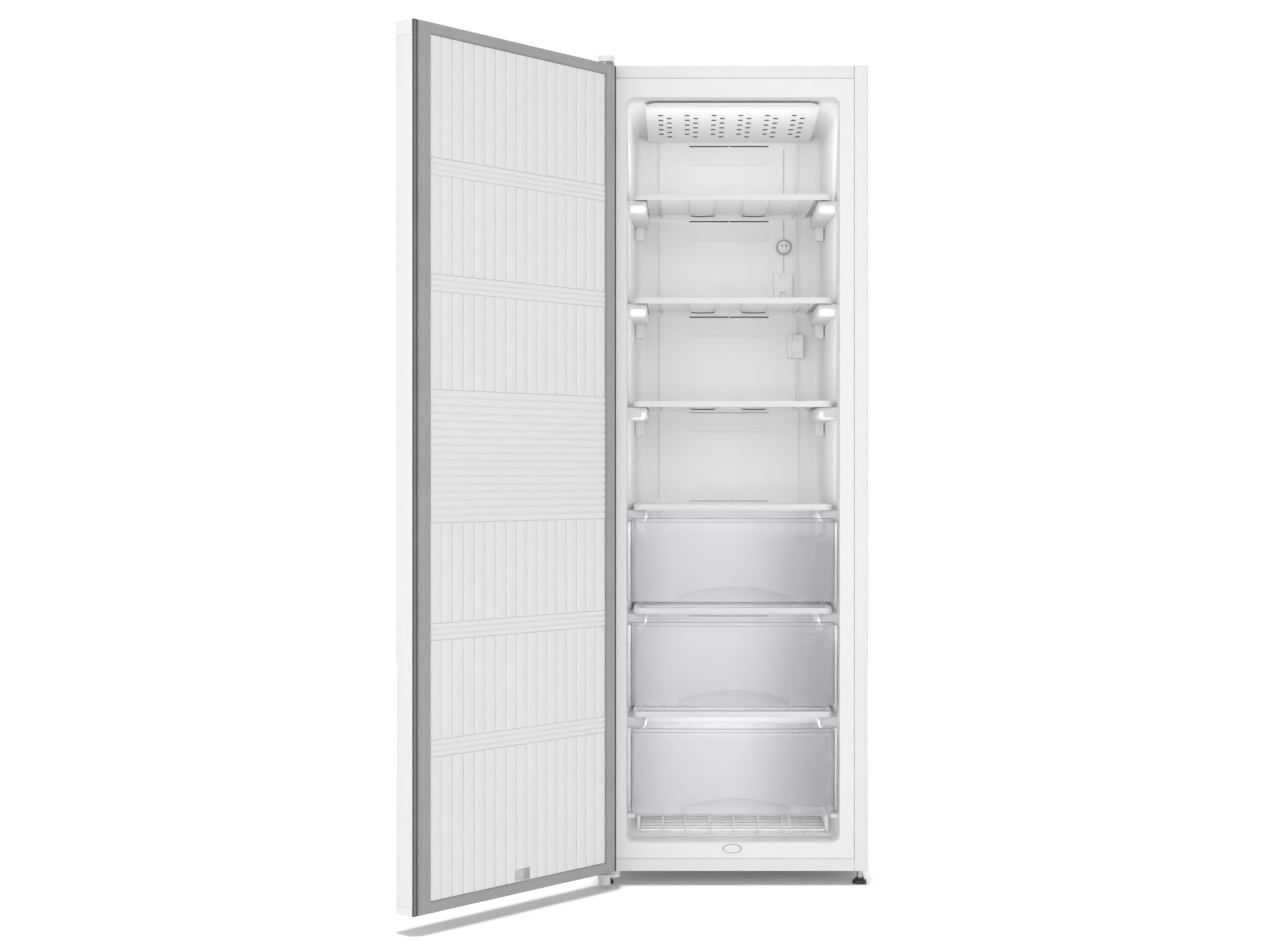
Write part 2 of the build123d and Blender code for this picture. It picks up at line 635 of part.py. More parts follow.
# ---- door, modelled shut ----
def door_outline(inset, r):
    """Plan of the door, rounded at its two outer corners."""
    x0 = AXIS_X + DOOR_A0 + inset
    x1 = AXIS_X + DOOR_A1 - inset
    return x0, x1, DOOR_Y0 + inset, r


def door_shell(inset, y1, z0, z1):
    x0, x1, y0, r = door_outline(inset, DOOR_R - inset)
    return plan_block(x0, x1, y0, y1, z0, z1, r_front=r)


def door_outer_panel():
    z0 = DOOR_Z0 + CAP_LOW
    z1 = DOOR_Z1 - CAP_TOP
    body = door_shell(0, DOOR_Y1, z0, z1)
    body -= door_shell(DOOR_SHEET, DOOR_Y1 + 1, z0 - 1, z1 + 1)
    x0, x1, _, _ = door_outline(0, 0)
    turn = block(x0, x0 + 14, DOOR_Y1 - DOOR_SHEET, DOOR_Y1, z0, z1)
    body += turn
    body += block(x1 - 14, x1, DOOR_Y1 - DOOR_SHEET, DOOR_Y1, z0, z1)
    return body


def door_cap(z0, z1, top):
    """Moulded end cap, hollow towards the foam."""
    body = door_shell(0, DOOR_Y1, z0, z1)
    hollow = (z0 - 1, z1 - WALL) if top else (z0 + WALL, z1 + 1)
    body -= door_shell(WALL, DOOR_Y1 - 2, *hollow)
    bush = (z1 - 22, z1) if top else (z0, z0 + CAP_LOW)
    body += rod_z(AXIS_X, AXIS_Y, *bush, BOSS_D)
    body -= rod_z(AXIS_X, AXIS_Y, bush[0] - 1, bush[1] + 1, BUSH_D)
    return body


def hinge_bushes():
    low = rod_z(AXIS_X, AXIS_Y, DOOR_Z0, DOOR_Z0 + CAP_LOW, BUSH_D)
    high = rod_z(AXIS_X, AXIS_Y, DOOR_Z1 - 22, DOOR_Z1, BUSH_D)
    bore = rod_z(AXIS_X, AXIS_Y, 0, TOP_Z + BEYOND, PIN_D + 2 * PIN_FIT)
    return [low - bore, high - bore]


def door_foam():
    body = door_shell(DOOR_SHEET, DOOR_Y1 - DOOR_SHEET, DOOR_Z0 + CAP_LOW, DOOR_Z1 - CAP_TOP)
    body += door_shell(WALL, DOOR_Y1 - 2, DOOR_Z0 + WALL, DOOR_Z1 - WALL)
    body -= rod_z(AXIS_X, AXIS_Y, DOOR_Z0, DOOR_Z0 + CAP_LOW, BOSS_D)
    body -= rod_z(AXIS_X, AXIS_Y, DOOR_Z1 - 22, DOOR_Z1, BOSS_D)
    return body


def gasket_edges():
    """Outer and inner edges of the gasket bulb."""
    x0 = AXIS_X + DOOR_A0 + GASKET_OUT
    x1 = AXIS_X + DOOR_A1 - GASKET_OUT
    return x0, x1, DOOR_Z0 + GASKET_END, DOOR_Z1 - GASKET_END


def door_gasket():
    x0, x1, z0, z1 = gasket_edges()
    w = GASKET_W
    h = GASKET_BAND
    dx0 = AXIS_X + DOOR_A0 + 1
    dx1 = AXIS_X + DOOR_A1 - 1
    flap = block(dx0, dx1, DOOR_Y1, DOOR_Y1 + 2, DOOR_Z0 + 1, DOOR_Z1 - 1)
    bulb = block(x0, x1, DOOR_Y1, GASKET_Y, z0, z1)
    tops = bulb.faces().sort_by(Axis.Y)[-1].edges()
    bulb = fillet(tops, 2.5)
    body = flap + bulb - block(x0 + w, x1 - w, DOOR_Y1 - 1, 0, z0 + h, z1 - h)
    slit = block(x0 + 5, x1 - 5, -6.5, -3.5, z0 + 5, z1 - 5)
    slit -= block(x0 + w - 5, x1 - w + 5, -7, -3, z0 + h - 5, z1 - h + 5)
    return body - slit


def panel_edges():
    """The raised panel fills the gasket's opening."""
    x0, x1, z0, z1 = gasket_edges()
    side = GASKET_W + PANEL_IN
    end = GASKET_BAND + PANEL_IN
    return x0 + side, x1 - side, z0 + end, z1 - end


def door_liner():
    """Inner door panel: raised field with upright grooves, bands of ridges and a drain notch."""
    x0, x1, z0, z1 = panel_edges()
    g = PANEL_IN
    body = block(x0 - g, x1 + g, DOOR_Y1, DOOR_Y1 + WALL, z0 - g, z1 + g)
    field = block(x0, x1, DOOR_Y1, PANEL_Y, z0, z1)
    body += fillet(field.edges().filter_by(Axis.Y), 4)
    for x in groove_places():
        body -= block(x - 0.9, x + 0.9, PANEL_Y - 1.2, 0, z0 + 2, z1 - 2)
    for za, zb, count in ridge_bands():
        body -= block(x0 + 2, x1 - 2, PANEL_Y - RIDGE_DEEP, 0, za, zb)
        pitch = (zb - za) / count
        for n in range(count):
            body += ridge(x0 + 2, x1 - 2, za + (n + 0.5) * pitch, 0.42 * pitch)
    return body - block(-22, 6, PANEL_Y - 4, 0, z0, z0 + 24)


def ridge(x0, x1, z, half):
    """Low ridge along x with slanted flanks."""
    base = PANEL_Y - RIDGE_DEEP
    outline = Plane.YZ.offset(x0) * Polygon(
        (base, z - half), (PANEL_Y, z - 0.3 * half), (PANEL_Y, z + 0.6 * half), (base, z + half), align=None)
    return extrude(outline, x1 - x0)


def groove_places():
    x0, x1, _, _ = panel_edges()
    width = (x1 - x0) / 17
    return [x0 + width * n for n in range(1, 17)]


def ridge_bands():
    """Bands of ridges level with the shelves: low end, high end and number of ridges."""
    bands = [(top - 30, top + 3, 3) for top in (SHELF_TOPS[5], SHELF_TOPS[4], SHELF_TOPS[1], SHELF_TOPS[0])]
    return bands + [(SHELF_TOPS[3] - 28, SHELF_TOPS[2] + 5, 17)]


# ---- hinges ----
TOP_SCREWS = ((AXIS_X + 3, 15.0), (AXIS_X + 3, 32.0))
LOW_SCREWS = ((AXIS_X + 21, 12.0), (AXIS_X + 21, 34.0))
SCREW_D = 4.0


def lower_hinge_bracket():
    plate = block(-HALF_W + 1, AXIS_X + 31, -44, 45, BASE_Z - 3.5, BASE_Z)
    plate = fillet(plate.edges().filter_by(Axis.Z), 6)
    boss = rod_z(AXIS_X, AXIS_Y, 7, BASE_Z - 3.5, 25)
    boss = fillet(boss.edges().sort_by(Axis.Z)[0], 1.5)
    plate += boss
    plate -= rod_z(-FOOT_X, FOOT_Y, 20, 30, 11)
    plate -= rod_z(AXIS_X, AXIS_Y, 12, 40, PIN_D)
    return plate


def upper_hinge_bracket():
    plate = block(-HALF_W + 3, AXIS_X + 17, -42, 42, TOP_Z, TOP_Z + 3)
    plate = fillet(plate.edges().filter_by(Axis.Z), 5)
    for x, y in TOP_SCREWS:
        plate -= rod_z(x, y, TOP_Z - 1, TOP_Z + 5, SCREW_D)
    return plate - rod_z(AXIS_X, AXIS_Y, TOP_Z - 1, TOP_Z + 5, PIN_D)


def hinge_pins():
    low = rod_z(AXIS_X, AXIS_Y, 12, DOOR_Z0 + CAP_LOW - 2, PIN_D)
    low += rod_z(AXIS_X, AXIS_Y, BASE_Z, DOOR_Z0 - 0.2, 13)
    high = rod_z(AXIS_X, AXIS_Y, DOOR_Z1 - 20, TOP_Z + 3, PIN_D)
    high += rod_z(AXIS_X, AXIS_Y, DOOR_Z1 + 0.5, TOP_Z, 13)
    return [low, high]


def upper_hinge_cover():
    body = block(-HALF_W + 2, AXIS_X + 19, -44, 46, TOP_Z, TOP_Z + 12)
    body = fillet(body.edges().filter_by(Axis.Z), 7)
    body = fillet(body.faces().sort_by(Axis.Z)[-1].edges(), 2)
    hollow = block(-HALF_W + 3, AXIS_X + 17.1, -42.1, 44, TOP_Z, TOP_Z + 9.5)
    return body - fillet(hollow.edges().filter_by(Axis.Z), 5)


def cabinet_screws():
    screws = []
    for x, y in TOP_SCREWS:
        head = rod_z(x, y, TOP_Z + 3, TOP_Z + 6.5, 9)
        shank = rod_z(x, y, TOP_Z - 2, TOP_Z + 3, SCREW_D)
        screws.append(head + shank)
    for x, y in LOW_SCREWS:
        screws.append(rod_z(x, y, BASE_Z - 7, BASE_Z - 3.5, 9))
    return screws


# ---- feet and rollers ----
def front_foot(x):
    pad = rod_z(x, FOOT_Y, 0, 14, 29)
    pad = chamfer(pad.edges().sort_by(Axis.Z)[0], 1)
    for i in range(24):
        angle = radians(15 * i)
        pad -= rod_z(x + 14.8 * cos(angle), FOOT_Y + 14.8 * sin(angle), 3, 15, 2)
    return pad + rod_z(x, FOOT_Y, 13, 45, STEM_D)


def rear_roller(x):
    wheel = rod_x(ROLLER_Y, ROLLER_D / 2, x - 7, x + 7, ROLLER_D)
    wheel = fillet(wheel.edges(), 1.5)
    return wheel - rod_x(ROLLER_Y, ROLLER_D / 2, x - 10, x + 10, AXLE_D + 2 * PIN_FIT)


def roller_axles():
    return both(rod_x(ROLLER_Y, ROLLER_D / 2, ROLLER_X - 12, ROLLER_X + 12, AXLE_D))


def compressor_plate():
    plate = block(-HALF_W + SHEET, HALF_W - SHEET, BAY_Y + 1.5, DEPTH - SHEET, PLATE_Z, PLATE_Z + 2)
    lip = block(-HALF_W + 22, HALF_W - 22, DEPTH - 3, DEPTH - SHEET, PLATE_Z, 62)
    plate += lip
    for x in (-ROLLER_X, ROLLER_X):
        for dx in (-9.5, 9.5):
            ear = block(x + dx - 1.5, x + dx + 1.5, ROLLER_Y - 10, ROLLER_Y + 10, 6, PLATE_Z + 1)
            plate += ear
        plate -= rod_x(ROLLER_Y, ROLLER_D / 2, x - 12, x + 12, AXLE_D)
    plate -= rod_y(GLAND_X, GLAND_Z, DEPTH - 5, DEPTH, 14)
    return plate


# ---- machine bay ----
COMP_X = -90.0
COMP_Y = DEPTH - 120
COMP_D = 150.0
FILTER_X = 110.0
FILTER_Y = DEPTH - 65


def compressor():
    low = PLATE_Z + 20
    body = rod_z(COMP_X, COMP_Y, low + 2.5, low + 153.5, COMP_D)
    body = fillet(body.edges().sort_by(Axis.Z)[-1], 34)
    body = fillet(body.edges().sort_by(Axis.Z)[0], 24)
    body += rod_z(COMP_X, COMP_Y, low + 66.5, low + 72.5, COMP_D + 6)
    feet = block(COMP_X - 92, COMP_X + 92, COMP_Y - 55, COMP_Y + 55, low, low + 3.5)
    feet = fillet(feet.edges().filter_by(Axis.Z), 12)
    stub = rod_x(COMP_Y, low + 98.5, COMP_X + 60, COMP_X + 88, 8)
    return body + feet + stub


def compressor_mounts():
    mounts = []
    for sx in (-1, 1):
        for sy in (-1, 1):
            x = COMP_X + sx * 78
            y = COMP_Y + sy * 42
            mounts.append(rod_z(x, y, PLATE_Z + 2, PLATE_Z + 20, 20))
    return mounts


def terminal_cover():
    low = PLATE_Z + 63.5
    box = block(COMP_X - 35, COMP_X + 35, COMP_Y + 66, COMP_Y + 100, low, low + 70)
    box = fillet(box.edges().filter_by(Axis.Z), 5)
    round_body = rod_z(COMP_X, COMP_Y, low - 5, low + 75, COMP_D)
    round_body += rod_z(COMP_X, COMP_Y, low + 23, low + 29, COMP_D + 6)
    return box - round_body


def drip_tray():
    low = PLATE_Z + 173.5
    x0 = COMP_X - 80
    y0 = COMP_Y - 80
    tray = block(x0, x0 + 195, y0, y0 + 160, low, low + 27)
    tray = fillet(tray.edges().filter_by(Axis.Z), 10)
    hollow = block(x0 + 2, x0 + 193, y0 + 2, y0 + 158, low + 2, low + 35)
    return tray - fillet(hollow.edges().filter_by(Axis.Z), 8)


def drain_tube():
    tube = rod_z(0, DRAIN_Y, BAY_Z - 63, RECESS_Z0 - 1, DRAIN_D)
    return tube - rod_z(0, DRAIN_Y, BAY_Z - 80, RECESS_Z0 + 5, DRAIN_D - 4)


def filter_drier():
    body = rod_z(FILTER_X, FILTER_Y, 110, 210, 18)
    body = fillet(body.edges(), 4)
    return body + rod_z(FILTER_X, FILTER_Y, 100, 220, 6)


def refrigerant_pipes():
    """Hot line to the condenser, and the two lines of the drier up into the foam."""
    hot_z = PLATE_Z + 118.5
    riser_x = CONDENSER_HALF - 20
    hot = tube_along((
        (COMP_X + 88, COMP_Y, hot_z), (COMP_X + 130, COMP_Y, hot_z), (COMP_X + 130, COMP_Y, 90),
        (COMP_X + 130, DEPTH - 15, 90), (riser_x, DEPTH - 15, 90), (riser_x, CONDENSER_Y, 90),
        (riser_x, CONDENSER_Y, CONDENSER_Z0 - 45), (CONDENSER_HALF, CONDENSER_Y, CONDENSER_Z0 - 25),
        (CONDENSER_HALF, CONDENSER_Y, CONDENSER_Z0 - CONDENSER_D / 2)), CONDENSER_D, 6)
    x = FILTER_X
    y = FILTER_Y
    dry = tube_along(((x, y, 220), (x, y, 262), (x + 80, y, 262), (x + 80, y, BAY_Z)), 4, 8)
    cold = tube_along(((x, y, 100), (x, y, 70), (x + 50, y, 70), (x + 50, y - 30, 70),
                       (x + 50, y - 30, BAY_Z)), 4, 8)
    return [hot, dry, cold]


def cord_gland():
    body = rod_y(GLAND_X, GLAND_Z, DEPTH - 8, DEPTH + 10, 14)
    body += rod_y(GLAND_X, GLAND_Z, DEPTH - SHEET, DEPTH + 3, 20)
    body += rod_y(GLAND_X, GLAND_Z, DEPTH - 8, DEPTH - 3, 18)
    return body - rod_y(GLAND_X, GLAND_Z, DEPTH - 20, DEPTH + 20, 7)


# ---- condenser behind the back panel ----
def condenser_tube():
    points = []
    half = CONDENSER_HALF
    points.append((half, CONDENSER_Y, CONDENSER_Z0))
    for row in range(CONDENSER_ROWS):
        z = CONDENSER_Z0 + CONDENSER_STEP * row
        side = half if row % 2 == 0 else -half
        if row:
            points.append((side, CONDENSER_Y, z))
        points.append((-side, CONDENSER_Y, z))
    return tube_along(points, CONDENSER_D, 20)


def condenser_wires():
    wires = []
    z1 = CONDENSER_Z0 + CONDENSER_STEP * (CONDENSER_ROWS - 1) + 12
    reach = CONDENSER_D / 2 + 1
    for i in range(-5, 6):
        for dy in (-reach, reach):
            wires.append(rod_z(i * WIRE_STEP, CONDENSER_Y + dy, CONDENSER_Z0 - 12, z1, 2))
    return wires


def condenser_clips():
    clips = []
    for row in (1, CONDENSER_ROWS - 2):
        z = CONDENSER_Z0 + CONDENSER_STEP * row
        x = 4.5 * WIRE_STEP
        clip = block(x - 8, x + 8, DEPTH - SHEET, CONDENSER_Y + 5, z - 8, z + 8)
        clip = fillet(clip.edges().filter_by(Axis.X).sort_by(Axis.Y)[-2:], 4)
        clip -= rod_x(CONDENSER_Y, z, x - 20, x + 20, CONDENSER_D)
        clips += both(clip)
    return clips


# ---- build every node ----
outside = liner_outside()
inside = liner_inside()
liner = inner_liner(outside, inside)
pan = base_pan()

keep("left_side_panel", mirror(side_panel(), Plane.YZ))
keep("right_side_panel", side_panel())
keep("top_panel", top_panel())
keep("back_panel", back_panel())
keep("base_pan", pan)
keep("top_front_rail", top_front_rail())
keep("inner_liner", liner)
keep("shelf_rails", [bar & inside for bar in shelf_rails(outside)])
keep("cabinet_foam", cabinet_foam(outside, liner, pan))
keep("air_duct_cover", air_duct_cover())
keep("ceiling_air_diffuser", diffuser())
keep("sensor_covers", sensor_covers())
keep("thermostat_knob", thermostat_knob())
keep("thermostat_body", thermostat_body())
keep("evaporator_tube", evaporator_tube())
keep("evaporator_fins", evaporator_fins())
keep("defrost_heater", defrost_heater())
keep("fan_shroud", fan_shroud())
keep("fan_motor", fan_motor())
keep("fan_blade", fan_blade())
keep("drain_spout", drain_spout())
for number, top in enumerate(SHELF_TOPS, 1):
    keep(f"shelf_{number}", shelf(top))
for number in (1, 2):
    rests_on = SHELF_TOPS[3 + number]
    floor_z = rests_on + DRAWER_RISE
    front_top = SHELF_TOPS[2 + number] - SHELF_T - DRAWER_CLEAR
    tub_top = min(floor_z + TUB_H, SHELF_TOPS[2 + number] - LUG_DROP - 8)
    rear = SHELF_Y1 - 10
    keep(f"drawer_{number}", drawer(floor_z, front_top, floor_z, tub_top, rear, rests_on, TUB_HALF - 6.5))
keep("drawer_3", low_drawer())
keep("wire_basket", wire_basket())
keep("door_outer_panel", door_outer_panel())
keep("door_top_cap", door_cap(DOOR_Z1 - CAP_TOP, DOOR_Z1, True))
keep("door_bottom_cap", door_cap(DOOR_Z0, DOOR_Z0 + CAP_LOW, False))
keep("door_foam", door_foam())
keep("door_liner", door_liner())
keep("door_gasket", door_gasket())
keep("door_hinge_bushes", hinge_bushes())
keep("lower_hinge_bracket", lower_hinge_bracket())
keep("upper_hinge_bracket", upper_hinge_bracket())
keep("hinge_pins", hinge_pins())
keep("upper_hinge_cover", upper_hinge_cover())
keep("cabinet_screws", cabinet_screws())
keep("left_front_foot", front_foot(-FOOT_X))
keep("right_front_foot", front_foot(FOOT_X))
keep("left_rear_roller", rear_roller(-ROLLER_X))
keep("right_rear_roller", rear_roller(ROLLER_X))
keep("rear_roller_axles", roller_axles())
keep("compressor_plate", compressor_plate())
keep("compressor", compressor())
keep("compressor_mounts", compressor_mounts())
keep("compressor_terminal_cover", terminal_cover())
keep("drip_tray", drip_tray())
keep("drain_tube", drain_tube())
keep("filter_drier", filter_drier())
keep("refrigerant_pipes", refrigerant_pipes())
keep("cord_gland", cord_gland())
keep("condenser_tube", condenser_tube())
keep("condenser_wires", condenser_wires())
keep("condenser_clips", condenser_clips())

# the door stands open: turn its pieces about the hinge axis
swing = Pos(AXIS_X, AXIS_Y, 0) * Rot(0, 0, -REST_OPEN) * Pos(-AXIS_X, -AXIS_Y, 0)
for name in [n for n in parts if n.startswith("door_")]:
    parts[name] = [swing * s for s in parts[name]]

# the shared frame: middle of the whole footprint, on the floor
boxes = [s.bounding_box() for solids in parts.values() for s in solids]
x_mid = (min(b.min.X for b in boxes) + max(b.max.X for b in boxes)) / 2
y_mid = (min(b.min.Y for b in boxes) + max(b.max.Y for b in boxes)) / 2
low = min(b.min.Z for b in boxes)
print("shift", round(x_mid, 4), round(y_mid, 4), round(low, 4), "nodes", len(parts))
for name, solids in parts.items():
    placed = [Pos(-x_mid, -y_mid, -low) * s for s in solids]
    whole = placed[0] if len(placed) == 1 else Compound(children=placed)
    export_step(whole, f"parts/{name}.step")
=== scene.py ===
# %% [markdown]
# # An upright freezer with its door open
# The object is a white one-door freezer: a box of folded enamelled sheet, a moulded white liner inside it,
# six moulded shelves, three smoke-tinted drawers, a wire basket, and a door that stands open at about 130
# degrees. The solid part is already made, and it is loaded here as a fixed frame. The cells after this one
# make the finishes and the visible pieces one by one, and say how the real ones are made.

# %% Load the solid part
import bmesh
import bpy
import json
from math import cos, pi, radians, sin
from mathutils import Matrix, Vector


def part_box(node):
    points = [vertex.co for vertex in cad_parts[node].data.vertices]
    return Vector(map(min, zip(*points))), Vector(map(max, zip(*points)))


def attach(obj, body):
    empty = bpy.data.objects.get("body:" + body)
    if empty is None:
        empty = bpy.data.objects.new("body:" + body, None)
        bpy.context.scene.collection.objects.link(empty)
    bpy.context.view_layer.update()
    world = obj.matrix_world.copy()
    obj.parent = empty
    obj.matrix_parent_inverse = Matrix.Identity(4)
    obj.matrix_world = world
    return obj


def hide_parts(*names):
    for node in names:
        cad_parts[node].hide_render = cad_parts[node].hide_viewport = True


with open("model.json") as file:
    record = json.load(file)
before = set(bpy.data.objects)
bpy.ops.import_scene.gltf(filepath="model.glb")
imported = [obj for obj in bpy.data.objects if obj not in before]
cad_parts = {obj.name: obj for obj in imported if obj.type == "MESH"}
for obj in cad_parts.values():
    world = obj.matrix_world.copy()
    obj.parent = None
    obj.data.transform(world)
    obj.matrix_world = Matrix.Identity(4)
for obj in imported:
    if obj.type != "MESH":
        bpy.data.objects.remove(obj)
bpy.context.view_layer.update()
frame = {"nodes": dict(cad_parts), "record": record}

# %% [markdown]
# Sizes on a freezer are given from the cabinet: x from its middle, y from its front face backwards, z from
# the floor up, all in millimetres. The frame has its own origin, so one function turns cabinet millimetres
# into scene metres and one turns them back. The side panel's box says where the cabinet stands.

# %% Cabinet measures
HALF = 275.0
DEPTH = 515.0
BASE, TOP = 29.0, 1669.0
side_low, side_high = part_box("right_side_panel")
FRONT = Vector((side_high.x - HALF / 1000, side_low.y, 0.0))


def at(x, y, z):
    return FRONT + Vector((x, y, z)) / 1000


def cabinet_mm(place):
    return (place - FRONT) * 1000


print("cabinet front middle on the floor:", tuple(round(c, 4) for c in FRONT))

# %% [markdown]
# ## Finishes
# Nothing on a real freezer has one flat colour. Enamel has a faint orange peel, moulded plastic a fine matt
# grain and a slight drift in tint, galvanised steel a spangle. Three node groups make those effects once,
# and each finish places them with its own values. They read Object coordinates, so a pattern stays on the
# piece when the door swings.

# %% A helper for node groups
# A Mix node set to colours has its two colours and its result at these places.
MIX_A, MIX_B, MIX_RESULT = 6, 7, 2


def new_group(name, inputs, outputs):
    group = bpy.data.node_groups.new(name, "ShaderNodeTree")
    for label, kind, value in inputs:
        socket = group.interface.new_socket(label, in_out="INPUT", socket_type=kind)
        socket.default_value = value
    for label, kind in outputs:
        group.interface.new_socket(label, in_out="OUTPUT", socket_type=kind)
    return group, group.nodes.new("NodeGroupInput"), group.nodes.new("NodeGroupOutput")


print("colour sockets of a Mix node:", MIX_A, MIX_B, "result:", MIX_RESULT)

# %% [markdown]
# Paint and moulded plastic wander a little in colour from one hand's breadth to the next. A noise texture
# can carry that: it chooses, point by point, between two near tones. The group gives the mixed colour.

# %% Group: slow drift in tint
def tint_drift():
    group, given, result = new_group(
        "tint_drift",
        [("Colour", "NodeSocketColor", (0.8, 0.8, 0.8, 1)),
         ("Other Colour", "NodeSocketColor", (0.7, 0.7, 0.7, 1)), ("Scale", "NodeSocketFloat", 4.0),
         ("Amount", "NodeSocketFloat", 0.5)],
        [("Colour", "NodeSocketColor")])
    make, link = group.nodes.new, group.links.new
    place = make("ShaderNodeTexCoord")
    noise = make("ShaderNodeTexNoise")
    noise.inputs["Detail"].default_value = 4.0
    spread = make("ShaderNodeMapRange")
    spread.inputs["From Min"].default_value = 0.35
    spread.inputs["From Max"].default_value = 0.65
    amount = make("ShaderNodeMath")
    amount.operation = "MULTIPLY"
    mix = make("ShaderNodeMix")
    mix.data_type = "RGBA"
    link(place.outputs["Object"], noise.inputs["Vector"])
    link(given.outputs["Scale"], noise.inputs["Scale"])
    link(noise.outputs["Fac"], spread.inputs["Value"])
    link(spread.outputs["Result"], amount.inputs[0])
    link(given.outputs["Amount"], amount.inputs[1])
    link(amount.outputs["Value"], mix.inputs["Factor"])
    link(given.outputs["Colour"], mix.inputs[MIX_A])
    link(given.outputs["Other Colour"], mix.inputs[MIX_B])
    link(mix.outputs[MIX_RESULT], result.inputs["Colour"])
    return group


TINT_DRIFT = tint_drift()
print("group", TINT_DRIFT.name)

# %% [markdown]
# A surface shows its make by its smallest bumps. Enamel has the soft waves of orange peel, a moulded part
# the fine grain of its steel mould. The group mixes a fine noise with a slow one and gives the result as a
# height, and it gives the slow noise alone as a mask, so that the gloss changes with the waves.

# %% Group: fine surface grain
def surface_grain():
    """Height of a fine grain laid over slow waves, as orange peel or mould grain."""
    group, given, result = new_group(
        "surface_grain",
        [("Grain Scale", "NodeSocketFloat", 900.0), ("Wave Scale", "NodeSocketFloat", 12.0),
         ("Wave Share", "NodeSocketFloat", 0.5)],
        [("Height", "NodeSocketFloat"), ("Gloss Mask", "NodeSocketFloat")])
    make, link = group.nodes.new, group.links.new
    place = make("ShaderNodeTexCoord")
    grain = make("ShaderNodeTexNoise")
    grain.inputs["Detail"].default_value = 2.0
    waves = make("ShaderNodeTexNoise")
    waves.inputs["Detail"].default_value = 1.0
    mix = make("ShaderNodeMix")
    mix.data_type = "FLOAT"
    link(place.outputs["Object"], grain.inputs["Vector"])
    link(place.outputs["Object"], waves.inputs["Vector"])
    link(given.outputs["Grain Scale"], grain.inputs["Scale"])
    link(given.outputs["Wave Scale"], waves.inputs["Scale"])
    link(given.outputs["Wave Share"], mix.inputs["Factor"])
    link(grain.outputs["Fac"], mix.inputs["A"])
    link(waves.outputs["Fac"], mix.inputs["B"])
    link(mix.outputs["Result"], result.inputs["Height"])
    link(waves.outputs["Fac"], result.inputs["Gloss Mask"])
    return group


SURFACE_GRAIN = surface_grain()
print("group", SURFACE_GRAIN.name)

# %% [markdown]
# Zinc freezes on steel in crystals the size of a fingernail, each with its own tone. Voronoi cells are the
# right pattern, and a little noise bends their edges, since crystals have no ruled outlines.

# %% Group: spangle of zinc
def zinc_spangle():
    group, given, result = new_group(
        "zinc_spangle", [("Scale", "NodeSocketFloat", 60.0)],
        [("Mask", "NodeSocketFloat")])
    make, link = group.nodes.new, group.links.new
    place = make("ShaderNodeTexCoord")
    cells = make("ShaderNodeTexVoronoi")
    bent = make("ShaderNodeTexNoise")
    bent.inputs["Scale"].default_value = 40.0
    shift = make("ShaderNodeVectorMath")
    shift.operation = "MULTIPLY_ADD"
    shift.inputs[1].default_value = (0.02, 0.02, 0.02)
    split = make("ShaderNodeSeparateColor")
    link(place.outputs["Object"], bent.inputs["Vector"])
    link(bent.outputs["Color"], shift.inputs[0])
    link(place.outputs["Object"], shift.inputs[2])
    link(shift.outputs["Vector"], cells.inputs["Vector"])
    link(given.outputs["Scale"], cells.inputs["Scale"])
    link(cells.outputs["Color"], split.inputs["Color"])
    link(split.outputs["Red"], result.inputs["Mask"])
    return group


ZINC_SPANGLE = zinc_spangle()
print("group", ZINC_SPANGLE.name)

# %% [markdown]
# A finish is a Principled shader fed by those groups. The values that don't change over the surface, such
# as the coat of the enamel or the clearness of the smoke plastic, sit on the shader itself.

# %% Gloss and grain on a shader
def place_group(material, group, values):
    node = material.node_tree.nodes.new("ShaderNodeGroup")
    node.node_tree = group
    for label, value in values.items():
        node.inputs[label].default_value = value
    return node


def add_grain(material, gloss, grain):
    """gloss: smoothest and roughest; grain: grain scale, wave scale, wave share, depth in mm."""
    make, link = material.node_tree.nodes.new, material.node_tree.links.new
    shader = material.node_tree.nodes["Principled BSDF"]
    surface = place_group(material, SURFACE_GRAIN, {
        "Grain Scale": grain[0], "Wave Scale": grain[1], "Wave Share": grain[2]})
    bump = make("ShaderNodeBump")
    bump.inputs["Distance"].default_value = grain[3] / 1000
    bump.inputs["Strength"].default_value = 0.6
    rough = make("ShaderNodeMapRange")
    rough.inputs["To Min"].default_value = gloss[0]
    rough.inputs["To Max"].default_value = gloss[1]
    link(surface.outputs["Gloss Mask"], rough.inputs["Value"])
    link(rough.outputs["Result"], shader.inputs["Roughness"])
    link(surface.outputs["Height"], bump.inputs["Height"])
    link(bump.outputs["Normal"], shader.inputs["Normal"])
    return rough

# %% [markdown]
# On galvanised sheet the crystals decide both the tone and the gloss, so there their mask takes the place
# of the slow drift and of the waves.

# %% Crystals of zinc on a shader
def add_spangle(material, rough, colour, other, scale):
    make, link = material.node_tree.nodes.new, material.node_tree.links.new
    zinc = place_group(material, ZINC_SPANGLE, {"Scale": scale})
    mix = make("ShaderNodeMix")
    mix.data_type = "RGBA"
    mix.inputs[MIX_A].default_value = (*colour, 1)
    mix.inputs[MIX_B].default_value = (*other, 1)
    link(zinc.outputs["Mask"], rough.inputs["Value"])
    link(zinc.outputs["Mask"], mix.inputs["Factor"])
    link(mix.outputs[MIX_RESULT], material.node_tree.nodes["Principled BSDF"].inputs["Base Color"])

# %% [markdown]
# Now one function makes a whole finish. It takes two near tones and the scale of the drift between them,
# then the gloss and the grain. The rest has a plain default: no metal, no coat, not see-through, no zinc.

